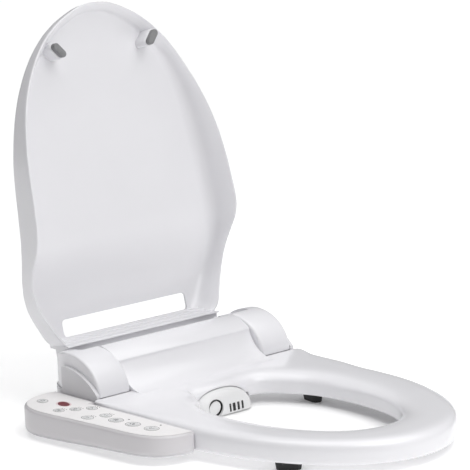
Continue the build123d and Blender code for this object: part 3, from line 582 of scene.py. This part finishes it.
# how far round the rear edge each ray ends: 1 on the straight rear edge
rear = smooth((p_out[:, 1] + 96.0) / 30.0)
side = smooth((p_out[:, 1] + 205.0) / 60.0)             # 1 towards the rear, where the edge is crisper
dish = np.minimum(1.0, (width - 26.0) / 46.0)
STATION = (p_in[:, 1] > -160) & (p_in[:, 0] > -60.5) & (p_in[:, 0] < 42.5)
hood_top = np.where(STATION, dome(p_in[:, 0]), HZ0)
front = smooth((-p_in[:, 1] - 210.0) / 90.0)
edge_z = np.where(STATION, np.maximum(28.0, hood_top + 2.0), 28.0 + 3.5 * front)
for _ in range(6):
    edge_z = 0.25 * np.roll(edge_z, 1) + 0.5 * edge_z + 0.25 * np.roll(edge_z, -1)
edge_z = np.maximum(edge_z, np.where(STATION, hood_top + 1.8, 0))
low_z = np.where(STATION, np.minimum(edge_z - 1.2, np.maximum(19.3, hood_top + 0.7)), 19.3)


def seat_loop(d, z):
    return np.column_stack([p_in + ray * np.broadcast_to(d, width.shape)[:, None], np.broadcast_to(z, width.shape)])


def seat_top_loops():
    loops = []
    # the underside stays clear of the tongue that carries the nozzle and the duct
    clear = 34.9
    tongue_x = (p_in[:, 0] > -58.0) & (p_in[:, 1] > -160.0)
    over_rear = tongue_x & (p_out[:, 1] > -70.0) & (p_out[:, 0] < 47.0)
    over_mid = tongue_x & (p_in[:, 0] < 43.0)
    over_tip = tongue_x & (p_in[:, 0] < 37.0)
    flat = np.maximum(rear, 0.85 * side)
    lip = 34.0 * dish
    for u, t in ((0.0, 0.0), (0.03, 0.16), (0.08, 0.33), (0.16, 0.52), (0.28, 0.70), (0.44, 0.85), (0.66, 0.95), (1.0, 1.0)):
        d, z = lip * u, edge_z + (SEAT_TOP - edge_z) * t
        if u == 0.0:
            d, z = 0.2 * np.ones_like(width), edge_z - 0.2
        loops.append(seat_loop(d, z))
    e0 = (width - lip) * 0.55 * (1 - rear) + 7.0 * rear
    loops.append(seat_loop(lip + (width - e0 - lip) * 0.5, SEAT_TOP))
    k = 1 - 0.94 * rear
    r = np.minimum(e0 / 44.0, 1.0)
    for e, z, zf in ((44, 41.5, 41.5), (34, 41.35, 41.5), (25, 40.9, 41.45), (17.5, 40.1, 41.35), (11.5, 39.05, 41.1), (7.6, 37.8, 40.7), (4.9, 36.3, 40.0),
                     (2.8, 34.4, 38.9), (1.2, 31.6, 37.0), (0.3, 28.0, 33.0), (0, 24.5, 27.0)):
        ee = np.where(e > 15, e * r, np.minimum(e, e0 * 0.3 * e / 11.5)) * k + (e0 * (1 - k) if e == 44 else 0)
        zz = (z * (1 - flat) + zf * flat) * (1 - rear) + (SEAT_TOP - (SEAT_TOP - zf) * np.where(zf > 34, 0.1, 1.0)) * rear
        loops.append(seat_loop(width - ee, np.where(over_rear, np.maximum(zz, clear + 0.4), zz)))
    for e, z in ((0, 20.0), (0.4, 16.6), (1.5, 14.0), (3.6, 12.4), (6.2, SEAT_BOT), (6.8, SEAT_BOT + 0.6), (7.0, 17.5)):
        loops.append(seat_loop(width - e, np.where(over_rear, clear, z)))
    low = low_z
    wall = (low_z > 19.4) | (STATION & (p_in[:, 0] > -56.8) & (p_in[:, 0] < 38.6))
    for u in (0.66, 0.33):
        loops.append(seat_loop(9.0 + (width - 18.0) * u, np.where(over_mid, clear, np.maximum(low, 19.3))))
    for d, z in ((7.0, 17.5), (6.8, SEAT_BOT + 0.6), (6.2, SEAT_BOT), (3.8, 12.4), (2.0, 14.0), (1.2, 17.0)):
        zz = np.where(wall, low, z)
        loops.append(seat_loop(d, np.where(over_tip, np.maximum(low, 34.7), zz) if d > 6.0 else zz))
    gap = edge_z - np.maximum(low, 19.0)
    loops.append(seat_loop(0.7, np.maximum(low, 19.0) + 0.3 * gap))
    loops.append(seat_loop(0.1, edge_z - np.minimum(2.2, 0.3 * gap)))
    return loops


v, f = tube(seat_top_loops())
seat = make("seat_ring_skin", v, f, sharp=0.0)
subdivide(seat, 1)
bake(seat)
seat.data.set_sharp_from_angle(angle=0.9)
piece(seat, "seat", M_SEAT, "white_plastic", "seat_top_shell")

# underside cover set into the ring, open round the nozzle station
keep = np.where(~STATION)[0]
first = np.where(np.diff(keep) > 1)[0]
order = np.concatenate([keep[first[0] + 1:], keep[:first[0] + 1]]) if len(first) else keep


def low_loops():
    rows = []
    for e, z in ((7.6, 18.6), (7.4, 13.0), (8.0, 12.4), (9.0, 12.2)):
        rows.append(seat_loop(width - e, z)[order])
    for u in (0.66, 0.33):
        rows.append(seat_loop(9.0 + (width - 18.0) * u, 12.2)[order])
    for d, z in ((9.0, 12.2), (8.0, 12.4), (7.4, 13.0), (7.6, 18.6)):
        rows.append(seat_loop(d, z)[order])
    return rows


rows = low_loops()
cols = [np.array([r[i] for r in rows]) for i in range(len(order))]
v, f = tube(cols, cap0=True, cap1=True)
low = make("seat_underside", v, f, sharp=0.9)
piece(low, "seat", M_SEAT, "white_plastic_matte", "seat_bottom_cover")

# hub that rolls round the hinge
CREST, BAND, TOE = (-37.5, 78.5), (-3.0, 91.5), -86.0
rr_ = ((CREST[0] - TOE) ** 2 + (CREST[1] - SEAT_TOP) ** 2) / (2 * (CREST[1] - SEAT_TOP))
amax = math.acos((SEAT_TOP + rr_ - CREST[1]) / rr_)
ramp = [(TOE + rr_ * math.sin(amax * k), SEAT_TOP + rr_ - rr_ * math.cos(amax * k)) for k in np.linspace(0, 0.93, 22)]
ramp = [(-90.0, SEAT_TOP - 0.25)] + ramp
crest = catmull([ramp[-1], (-38.6, 77.0), (-36.2, 79.0), (-33.2, 80.9), (-28.0, 83.8), (-21.0, 87.0), (-13.0, 89.6), (-6.5, 91.0), (-4.0, 91.3)], 5)
edge = [(-3.0, 91.1), (-2.5, 90.2), (-2.6, 88.6)]
inner = [(-44.6 * math.cos(math.radians(a)), HZ + 44.6 * math.sin(math.radians(a))) for a in np.linspace(86, 6, 26)]
hub_prof = np.array(ramp[:-1] + [tuple(p) for p in crest] + edge + inner + [(-62, 36.4), (-90, 36.4)])
hub_parts = [prism("x", hub_prof, -113.6, 113.6, 0.7)]
for s in (-1, 1):
    a, b = sorted((s * 109.5, s * 113.2))
    wall = [(-45.2 * math.cos(math.radians(t)), HZ + 45.2 * math.sin(math.radians(t))) for t in np.linspace(6, 86, 20)]
    wall += [(-11.0 * math.cos(math.radians(t)), HZ + 11.0 * math.sin(math.radians(t))) for t in np.linspace(100, 352, 16)]
    hub_parts.append(prism("x", wall, a, b))
v, f = merge_parts(hub_parts)
hub = make("seat_hub_skin", v, f, sharp=0.7)
piece(hub, "seat", M_SEAT, "white_plastic")

# -------------------------------------------------------------- rear cover
R = 62.0


def x_limit(y):
    """Outer face of the shoulder in plan, with the round rear corner."""
    rc = 57.0
    y0 = 59.5 - rc
    return np.where(y <= y0, 165.0, 165.0 - rc + np.sqrt(np.maximum(0, rc * rc - (np.maximum(y, y0) - y0) ** 2)))


def lobe(side, r, xin, xout, fil_in, fil_out, base, rise=49.2):
    """Half-round shoulder: a disc sector whose outer face follows the rear corner in plan."""
    ang = np.radians(np.concatenate([[0.0], np.linspace(2.5, 177.5, 71), [180.0]]))
    rows = []
    for a in ang:
        ca, sa = math.cos(a), math.sin(a)
        ky = (62.4 if ca > 0 else 57.6) / R
        xo = max(xin + 1.5, float(x_limit(-r * ca * ky)) - (165.0 - xout))
        fi, fo = min(fil_in, 0.35 * (xo - xin)), min(fil_out, 0.35 * (xo - xin))
        prof = [(xin, 1.0), (xin, 30.0), (xin, r - fi)]
        for k in (22, 45, 68, 90):
            t = math.radians(k)
            prof.append((xin + fi * (1 - math.cos(t)), r - fi * (1 - math.sin(t))))
        x0, span = xin + fi, xo - fo - xin - fi
        prof += [(x0 + span * u, r) for u in (0.33, 0.66)]
        for k in (0, 22, 45, 68, 90):
            t = math.radians(k)
            prof.append((xo - fo * (1 - math.sin(t)), r - fo * (1 - math.cos(t))))
        for q in (r - fil_out - 2, r - fil_out - 5, r - fil_out - 9, r - fil_out - 14, 36.0, 28.0, 16.0, 1.0):
            prof.append((max(xo, float(x_limit(-q * ca * ky)) - (165.0 - xout)), q))
        rows.append(np.array([(side * x, -q * ca * ky, base + q * sa * rise / R) for x, q in prof]))
    return tube(rows, ring=True, cap0=True, cap1=True)


cover_parts = [lobe(-1, R, 114.0, 165.0, 4.0, 3.2, HZ + 0.3), lobe(1, R, 114.0, 165.0, 4.0, 3.2, HZ + 0.3)]
strip = [(-55.1 * math.cos(math.radians(a)), HZ + 0.3 + 43.1 * math.sin(math.radians(a))) for a in np.linspace(150, 179.4, 16)]
strip += [(-57.6 * math.cos(math.radians(a)), HZ + 0.3 + 45.6 * math.sin(math.radians(a))) for a in np.linspace(179.4, 150, 16)]
v, f = merge_parts(cover_parts)
cover = make("rear_cover_skin", v, f, sharp=0.6)
cutters = []
for s in (-1, 1):
    cv, cf = lobe(s, R - 3.0, 117.0, 162.0, 1.0, 1.0, HZ - 1.5, 38.0)
    cutters.append(make(f"hollow_{s + 1}", cv, cf, sharp=0))
    cv, cf = prism("z", rounded(min(s * 121, s * 126.4), max(s * 121, s * 126.4), -2.6, 90, 0.6), HZ - 10, 130)
    cutters.append(make(f"arm_cut_{s + 1}", cv, cf, sharp=0))
    cv, cf = prism("x", ellipse(0.0, HZ, 6.5, 6.5, 0), min(s * 112, s * 118.4), max(s * 112, s * 118.4))
    cutters.append(make(f"pin_cut_{s + 1}", cv, cf, sharp=0))
    cv, cf = prism("z", rounded(min(s * 108, s * 146), max(s * 108, s * 146), -2.6, 90, 0.6), 80, 130)
    cutters.append(make(f"slit_cut_{s + 1}", cv, cf, sharp=0))
cut(cover, cutters)
cover.data.set_sharp_from_angle(angle=0.6)
piece(cover, "base", M_WHITE, "white_plastic", "base_upper_cover")
sv, sf = prism("x", strip, -113.8, 113.8)
rear_strip = make("rear_cover_strip", sv, sf, sharp=0.6)
piece(rear_strip, "base", M_WHITE, "white_plastic")

# ------------------------------------------------------------- control arm
arm_outer = [(-170.0, 24.0), (-188.0, 27.0), (-206.0, 24.5), (-225.0, 14.0), (-239.5, -3.5), (-247.0, -26.0), (-247.6, -52.0),
             (-243.6, -95.0), (-239.6, -140.0), (-236.2, -188.0), (-232.0, -218.0), (-224.0, -236.0), (-211.0, -248.5),
             (-195.0, -255.0), (-181.0, -257.0)]


def half_at(y):
    y = min(y, SEAT_REAR)
    return 173.5 * math.sqrt(1 - ((-222 - y) / 257.0) ** 2) if y < -222 else seat_half(y)


inner_edge = [(-half_at(y) - 0.7, y) for y in np.linspace(-251.5, -62.0, 34)]
arm_curve = resample(catmull(arm_outer[:-1] + [(-184.0, -256.6), (-177.5, -255.6), (-173.6, -253.2)]), 120)
arm_loop = np.concatenate([arm_curve, np.array(inner_edge), [(-174.0, -61.6), (-170.4, -61.4)],
                           resample(np.array([(-170.0, -60.0), (-170.0, 22.5)]), 16)])
arm_n = inward(arm_loop)
is_inner = smooth((np.arange(len(arm_loop)) - 117) / 5.0)
rad = 5.0 * (1 - is_inner) + 0.7 * is_inner


def arm_bottom(y):
    """Level of the underside, which rises towards the front end."""
    return 5.2 + 6.0 * smooth((-y - 20.0) / 230.0)


def arm_rings(stack):
    out = []
    for inset, z in stack:
        q = arm_loop + arm_n * np.broadcast_to(inset, rad.shape)[:, None]
        out.append(np.column_stack([q, np.broadcast_to(z, rad.shape)]))
    return out


zb = arm_bottom(arm_loop[:, 1])
stack = [(1.8, zb + 3.0), (0.6, zb + 3.05), (0.1, zb + 3.7)]
stack += [(0.0, zb + 3.7 + (33.0 - zb - 3.7) * u) for u in (0.25, 0.5, 0.75)]
for k in (0, 15, 30, 45, 60, 75, 90):
    t = math.radians(k)
    stack.append((rad * (1 - math.cos(t)), 38.0 - rad * (1 - math.sin(t)) * 0.8))
v, f = tube(arm_rings(stack), cap0=True, cap1=True)
arm = make("control_arm_skin", v, f, sharp=0.7)
stack = [(2.4, zb + 2.9), (0.9, zb + 2.85), (0.6, zb + 2.2), (1.2, zb + 0.6), (2.4, zb), (5.0, zb - 0.0)]
v, f = tube(arm_rings(stack), cap0=True, cap1=True)
arm_low = make("control_arm_underside", v, f, sharp=0.7)
piece(arm_low, "base", M_BASE, "white_plastic_matte", "arm_lower_cover")
parts = []
for x, y in ((-230.6, -150.0), (-190.0, -236.0), (-231.0, -70.0), (-190.0, 12.0)):
    z = float(arm_bottom(y))
    c = ellipse(x, y, 3.4, 3.4, 0, 24)
    parts.append(prism("z", c, z - 0.25, z + 2.5, 0.4))
v, f = merge_parts(parts)
heads = make("arm_screw_heads", v, f, sharp=0.6)
piece(heads, "base", M_STEEL, "steel", "arm_screws")

KEYS = [
    ("stop_button", -203.0, -37.0, 22.0, 13.0, 75.0),
    ("power_button", -212.0, -5.0, 15.0, 10.0, 65.0),
    ("seat_heat_button", -226.0, -56.0, 13.0, 9.0, 84.0),
    ("water_heat_button", -209.0, -68.0, 13.0, 9.0, 84.0),
    ("nozzle_clean_button", -192.0, -80.0, 13.0, 9.0, 84.0),
    ("position_button", -223.0, -110.0, 14.0, 10.0, 86.0),
    ("pressure_button", -202.0, -120.0, 14.0, 10.0, 86.0),
    ("dry_button", -207.0, -146.0, 17.0, 14.0, 86.0),
    ("bidet_button", -205.0, -176.0, 17.0, 14.0, 86.0),
    ("wash_button", -202.0, -208.0, 17.0, 14.0, 80.0),
]
cutters = []
for n, x, y, a, b, t in KEYS:
    cv, cf = prism("z", ellipse(x, y, a / 2 + 0.35, b / 2 + 0.35, t), 32.5, 45)
    cutters.append(make("cut_" + n, cv, cf, sharp=0))
cut(arm, cutters)
arm.data.set_sharp_from_angle(angle=0.7)
piece(arm, "base", M_ARM, "arm_plastic", "control_arm_housing")

# ------------------------------------------------------------ nozzle hood
def hood_loop(q, y):
    t = np.linspace(-1, 1, 61)
    xs = HX + (HA - q) * np.sin(t * math.pi / 2)
    top = np.stack([xs, np.full_like(t, y), dome(xs, q)], 1)[::-1]
    base = np.linspace(top[-1], top[0], 30)[1:-1]
    return np.concatenate([top, base])


hood_loops = [hood_loop(q, y) for q, y in ((0.6, -113.7), (0, -114.3), (0, -117.5), (0.5, -120.4), (1.9, -123.3), (4.2, -126.1), (7.2, -128.4), (11.0, -130.1), (15.5, -131.0))]
v, f = tube(hood_loops, cap0=True, cap1=True)
hood = make("nozzle_hood_skin", v, f, sharp=0.7)


def noz_world(p):
    t = math.radians(9.0)
    x, s, h = p[:, 0], p[:, 1], p[:, 2]
    return np.stack([-30.0 + x, -127.5 + s * math.cos(t) - h * math.sin(t), 12.5 + s * math.sin(t) + h * math.cos(t)], 1)


ring = np.array([(11.9 * math.cos(a), 11.9 * math.sin(a)) for a in np.linspace(0, 2 * math.pi, 64, endpoint=False)])
pv, pf = prism("y", ring, -30, 30)
port = make("port_cut", noz_world(pv), pf, sharp=0)
gcut = []
for x0, x1 in ((-7.6, -4.2), (-2.1, 3.1), (5.8, 10.0), (13.1, 16.7)):
    vent = rounded(x0, x1, 3.6, 14.6, 0.6, 3) + np.array([0.0, 0.0])
    vent[:, 0] -= 0.10 * (vent[:, 1] - 9.0)
    gv, gf = prism("y", vent, -140, -122.4)
    gcut.append(make("grille_cut", gv, gf, sharp=0))
hv, hf = prism("y", [tuple(p[[0, 2]]) for p in hood_loop(2.6, 0)], -121.2, -100)
hcut = make("hood_hollow", hv, hf, sharp=0)
cut(hood, [hcut, port] + gcut)
hood.data.set_sharp_from_angle(angle=0.7)
piece(hood, "base", M_HOOD, "white_plastic", "nozzle_hood")
gv, gf = prism("y", rounded(-10.4, 19.0, 2.9, 15.4, 1.0), -130.2, -123.6)
vent_back = make("dryer_vent_back", gv, gf, sharp=0.6)
piece(vent_back, "base", M_BLACK, "black_plastic", "dryer_grille")


def circle(cx, cy, r, n=64):
    return ellipse(cx, cy, r, r, 0, n)


def band(outer, inner, axis_fn, a, b):
    """Closed band between two loops, from a to b along its axis."""
    return tube([axis_fn(inner, a), axis_fn(outer, a), axis_fn(outer, b), axis_fn(inner, b)])


def noz_at(q, s):
    return noz_world(np.column_stack([q[:, 0], np.full(len(q), s), q[:, 1]]))


# black sleeve round the cap inside the port: painted shade, the dark crescent of the deep port
lv, lf = band(circle(0, 0, 12.0), circle(0, 0, 11.25), noz_at, -1.6, 8.0)
port_shade = make("nozzle_port_shade_sleeve", lv, lf, sharp=0.6)
piece(port_shade, "base", M_BLACK, "black_plastic")
dv, df = prism("y", circle(-1.0, 0.8, 9.6), -2.2, 3.2, 0.9)
cap = make("nozzle_cap_face", noz_world(dv), df, sharp=0.6)
piece(cap, "nozzle", M_HOOD, "white_plastic", "nozzle_cap")

# ------------------------------------------------------- printed panel marks
def top_of(n):
    o = NODES[n]
    return max((o.matrix_world @ w.co).z for w in o.data.vertices) / MM


def flat_at(q, z):
    return np.column_stack([q, np.full(len(q), z)])


def stroke(pts, w):
    """Outline of a line of width w through the points."""
    q = np.array(pts, float)
    d = np.gradient(q, axis=0)
    d /= np.linalg.norm(d, axis=1)[:, None]
    n = np.stack([-d[:, 1], d[:, 0]], 1) * w / 2
    return np.concatenate([q + n, (q - n)[::-1]])


def arc(cx, cy, r, a0, a1, n=24):
    return [(cx + r * math.cos(math.radians(a)), cy + r * math.sin(math.radians(a))) for a in np.linspace(a0, a1, n)]


def wave(x0, y0, x1, y1, amp, turns=1.0, n=18):
    t = np.linspace(0, 1, n)
    dx, dy = x1 - x0, y1 - y0
    ln = math.hypot(dx, dy)
    sw = amp * np.sin(2 * math.pi * turns * t)
    return np.stack([x0 + dx * t - dy / ln * sw, y0 + dy * t + dx / ln * sw], 1)


OV_Z = top_of("panel_overlay")
LINE = 0.85
MARKS = {
    "power_button": [stroke(arc(0, -0.2, 2.4, 125, 415), LINE), stroke([(0, 0.4), (0, 1.6), (0, 2.8)], LINE)],
    "seat_heat_button": [stroke(wave(u, -2.0, u, 2.0, 0.6), LINE) for u in (-2.2, 0, 2.2)],
    "water_heat_button": [stroke([(0.02, 2.6), (-1.2, 0.7), (-1.7, -0.6), (-1.2, -1.8), (0, -2.4), (1.2, -1.8), (1.7, -0.6), (1.2, 0.7), (-0.02, 2.6)], LINE)],
    "nozzle_clean_button": [stroke([(-3.0, 1.8), (-1.2, 0.5), (0.6, -0.8)], 1.0)] + [circle(u, w, 0.5, 12) for u, w in ((2.0, 0.6), (2.4, -1.0), (1.2, -2.2))],
    "position_button": [np.array([(-3.2, 0), (-1.0, -1.4), (-1.0, 1.4)]), np.array([(3.2, 0), (1.0, 1.4), (1.0, -1.4)])],
    "pressure_button": [stroke([(-3.2, 0), (-2.0, 0), (-0.9, 0)], LINE), stroke([(0.9, 0), (2.0, 0), (3.2, 0)], LINE), stroke([(2.05, 0.3), (2.05, 0.8), (2.05, 1.2)], LINE),
                        stroke([(2.05, -0.3), (2.05, -0.8), (2.05, -1.2)], LINE)],
    "dry_button": [stroke(wave(-3.4, w, 3.4, w, 0.7, 1.5), LINE) for w in (-2.0, 0, 2.0)],
    "bidet_button": [stroke(catmull([(k * 0.5, -3.0), (k * 0.8, 0.4), (k * 1.9, 2.3), (k * 3.2, 1.6), (k * 3.7, 0.0)]), LINE) for k in (-1, 1)],
    "wash_button": [stroke(catmull([(-3.0, -2.8), (-1.9, 0.6), (0.2, 2.4), (2.2, 1.5), (3.0, -0.4)]), LINE), circle(3.2, -2.2, 0.5, 12), circle(1.6, -1.4, 0.5, 12)],
}
rings = []
for n, x, y, a, b, t in KEYS:
    if n == "stop_button":
        continue
    o_, i_ = ellipse(x, y, a / 2 + 2.1, b / 2 + 2.1, t, 48), ellipse(x, y, a / 2 + 1.55, b / 2 + 1.55, t, 48)
    rings.append(band(o_, i_, flat_at, OV_Z - 0.05, OV_Z + 0.08))
    zt = top_of(n)
    parts = [prism("z", np.stack([x - np.asarray(q)[:, 1], y + np.asarray(q)[:, 0]], 1), zt - 0.12, zt + 0.06) for q in MARKS[n]]
    v, f = merge_parts(parts)
    mark = make("mark_" + n, v, f, sharp=0.6)
    piece(mark, "key_" + n[:-7], M_INK, "black_plastic")
v, f = merge_parts(rings)
key_lines = make("panel_key_lines", v, f, sharp=0.6)
piece(key_lines, "base", M_INK, "black_plastic")
n, x, y, a, b, t = KEYS[0]
v, f = band(ellipse(x, y, a / 2 + 2.6, b / 2 + 2.6, t, 56), ellipse(x, y, a / 2 + 0.6, b / 2 + 0.6, t, 56), flat_at, OV_Z - 0.05, OV_Z + 0.12)
stop_ring = make("panel_stop_ring", v, f, sharp=0.6)
piece(stop_ring, "base", M_STOPRING, "panel_film")
parts = [prism("z", circle(x, y, 1.3, 20), OV_Z - 0.05, OV_Z + 0.1) for x, y in ((-194.5, -156.0), (-185.0, -205.0))]
for n, x, y, a, b, t in KEYS[2:7]:                       # rows of three level lamps
    parts += [prism("z", circle(x + b / 2 + 4.6, y + k, 0.75, 14), OV_Z - 0.05, OV_Z + 0.1) for k in (-4.0, 0.0, 4.0)]
v, f = merge_parts(parts)
lamps = make("panel_lamps", v, f, sharp=0.6)
piece(lamps, "base", M_BLACK, "black_plastic")

# ---------------------------------------------------- carried-over CAD nodes
FINISH = {
    "base_lower_housing": (M_BASE, 1.0), "center_cover": (M_WHITE, 0.5), "release_button": (M_ARM, 0.6),
    "mounting_plate": (M_BASE, 0.6), "panel_overlay": (M_PANEL, 0.0), "stop_button": (M_STOP, 0.0), "seat_feet": (M_RUBBER, 0.8),
    "cord_gland": (M_RUBBER, 0.4), "internal_hoses": (M_RUBBER, 0.0), "seat_hinge_pins": (M_STEEL, 0.3), "lid_hinge_pins": (M_STEEL, 0.3),
    "hinge_brackets": (M_STEEL, 0.4), "base_screws": (M_STEEL, 0.2), "nozzle_motor": (M_STEEL, 0.4),
    "dryer_fan_motor": (M_STEEL, 0.4), "lid_damper": (M_BLACK, 0.5), "seat_damper": (M_BLACK, 0.5), "dryer_fan_scroll": (M_BLACK, 0.5),
    "dryer_impeller": (M_BLACK, 0.0), "tact_switches": (M_BLACK, 0.2), "solenoid_valve": (M_BLACK, 0.5), "nozzle_guide": (M_BLACK, 0.3),
    "nozzle_pinion": (M_ACETAL, 0.0), "wash_nozzle": (M_ACETAL, 0.0), "dryer_duct": (M_DUCT, 0.3),
    "water_tank": (M_TANK, 0.3), "tank_heater": (M_STEEL, 0.2), "dryer_heater": (M_STEEL, 0.0), "seat_heater": (M_FOIL, 0.0),
    "inlet_connector": (M_BRASS, 0.4), "main_pcb": (M_PCB, 0.0), "panel_pcb": (M_PCB, 0.0), "pcb_components": (M_BLACK, 0.4),
}
for n, *_ in KEYS[1:]:
    FINISH[n] = (M_KEY, 0.0)
for n, (mat, w) in FINISH.items():
    o = NODES[n]
    for i in range(max(1, len(o.material_slots))):
        if len(o.material_slots) == 0:
            o.data.materials.append(mat)
        else:
            o.material_slots[i].material = mat
    if w > 0:
        wm = o.modifiers.new("weld", "WELD")
        wm.merge_threshold = 1e-6
        bevel(o, w, 3, 0.7)

# ------------------------------------------------------- floor, light, camera
floor_me = bpy.data.meshes.new("floor")
S = 14.0
floor_me.from_pydata([(-S, -S, -0.0005), (S, -S, -0.0005), (S, S, -0.0005), (-S, S, -0.0005)], [], [(0, 1, 2, 3)])
floor = bpy.data.objects.new("floor", floor_me)
bpy.context.scene.collection.objects.link(floor)
fm = plastic("floor_pale", (0.90, 0.90, 0.90), 0.8, tint=0.002, scale=2, bump=0.0)
fb = fm.node_tree.nodes["Principled BSDF"]
fb.inputs["Emission Color"].default_value = (1, 1, 1, 1)
fn = fm.node_tree
ftc = fn.nodes.new("ShaderNodeTexCoord")
fmap = fn.nodes.new("ShaderNodeMapping")
fmap.vector_type = "TEXTURE"
fmap.inputs["Location"].default_value = (0.04, -0.25, 0.0)
fmap.inputs["Scale"].default_value = (0.17, 0.25, 1.0)
fn.links.new(ftc.outputs["Object"], fmap.inputs["Vector"])
# floor glow fades from 0.33 to 0.06 round the seat's opening: painted shadow under the far ring, seen through the
# opening
floor_shade_gradient = fn.nodes.new("ShaderNodeTexGradient")
floor_shade_gradient.gradient_type = "SPHERICAL"
fn.links.new(fmap.outputs["Vector"], floor_shade_gradient.inputs["Vector"])
floor_shade_ramp = fn.nodes.new("ShaderNodeMapRange")
floor_shade_ramp.interpolation_type = "SMOOTHSTEP"
floor_shade_ramp.inputs["From Min"].default_value, floor_shade_ramp.inputs["From Max"].default_value = 0.05, 0.55
floor_shade_ramp.inputs["To Min"].default_value, floor_shade_ramp.inputs["To Max"].default_value = 0.33, 0.06
fn.links.new(floor_shade_gradient.outputs["Fac"], floor_shade_ramp.inputs["Value"])
fsep = fn.nodes.new("ShaderNodeVectorMath")               # distance into the picture along the floor
fsep.operation = "DOT_PRODUCT"
fsep.inputs[1].default_value = (0.662, 0.749, 0.0)
fn.links.new(ftc.outputs["Object"], fsep.inputs[0])
fnear = fn.nodes.new("ShaderNodeMapRange")
fnear.interpolation_type = "SMOOTHSTEP"
fnear.inputs["From Min"].default_value, fnear.inputs["From Max"].default_value = -1.1, -0.40
fnear.inputs["To Min"].default_value, fnear.inputs["To Max"].default_value = 0.62, 1.0
fn.links.new(fsep.outputs["Value"], fnear.inputs["Value"])
fmul = fn.nodes.new("ShaderNodeMath")
fmul.operation = "MULTIPLY"
fn.links.new(floor_shade_ramp.outputs["Result"], fmul.inputs[0])
fn.links.new(fnear.outputs["Result"], fmul.inputs[1])
fn.links.new(fmul.outputs["Value"], fb.inputs["Emission Strength"])
fmix = fn.nodes.new("ShaderNodeMix")
fmix.data_type, fmix.blend_type = "RGBA", "MULTIPLY"
fmix.inputs["Factor"].default_value = 1.0
fcol = fb.inputs["Base Color"].links[0].from_socket
fn.links.new(fcol, fmix.inputs["A"])
fn.links.new(fnear.outputs["Result"], fmix.inputs["B"])
fn.links.new(fmix.outputs["Result"], fb.inputs["Base Color"])
paint(floor, fm)

world = bpy.data.worlds.new("studio")
bpy.context.scene.world = world
world.use_nodes = True
bg = world.node_tree.nodes["Background"]
bg.inputs["Color"].default_value = (0.97, 0.975, 1.0, 1)
bg.inputs["Strength"].default_value = 0.105


def sun(name, azimuth, elevation, spread, strength, color=(1, 1, 1)):
    """Wide soft source, given by the direction that it shines from."""
    d = bpy.data.lights.new(name, "SUN")
    d.energy, d.angle, d.color = strength, math.radians(spread), color
    az, el = math.radians(azimuth), math.radians(elevation)
    o = bpy.data.objects.new(name, d)
    o.rotation_euler = Vector((math.cos(az) * math.cos(el), math.sin(az) * math.cos(el), math.sin(el))).to_track_quat("Z", "Y").to_euler()
    bpy.context.scene.collection.objects.link(o)
    return o


sun("top", -60, 82, 70, 1.84)
sun("front", -80, 30, 50, 0.38)
sun("rim", 70, 55, 60, 0.30)
sun("fill", -130, 35, 50, 0.02)
key = bpy.data.lights.new("key", "AREA")
key.shape, key.size, key.energy = "DISK", 0.9, 4.9
key_o = bpy.data.objects.new("key", key)
key_o.location = (-0.05, -1.05, 1.10)
key_o.rotation_euler = (key_o.location - Vector((0.0, -0.05, 0.28))).to_track_quat("Z", "Y").to_euler()
key_o.visible_camera = False
bpy.context.scene.collection.objects.link(key_o)

cam_d = bpy.data.cameras.new("camera")
cam = bpy.data.objects.new("camera", cam_d)
bpy.context.scene.collection.objects.link(cam)
cam_d.sensor_width, cam_d.sensor_fit = 36.0, "HORIZONTAL"
cam_d.lens = 196.665
cam_d.clip_start, cam_d.clip_end = 0.1, 100.0
yaw, pitch, roll = math.radians(-41.4862), math.radians(11.6229), math.radians(-2.0995)
fwd = Vector((-math.sin(yaw) * math.cos(pitch), math.cos(yaw) * math.cos(pitch), -math.sin(pitch)))
r0 = Vector((math.cos(yaw), math.sin(yaw), 0))
u0 = r0.cross(fwd)
rt = math.cos(roll) * r0 + math.sin(roll) * u0
up = -math.sin(roll) * r0 + math.cos(roll) * u0
m3 = Matrix((rt, up, -fwd)).transposed()
cam.matrix_world = Matrix.Translation(Vector((-2.107973, -2.528660, 0.891255))) @ m3.to_4x4()
bpy.context.scene.camera = cam
bpy.context.scene.view_settings.view_transform = "Standard"
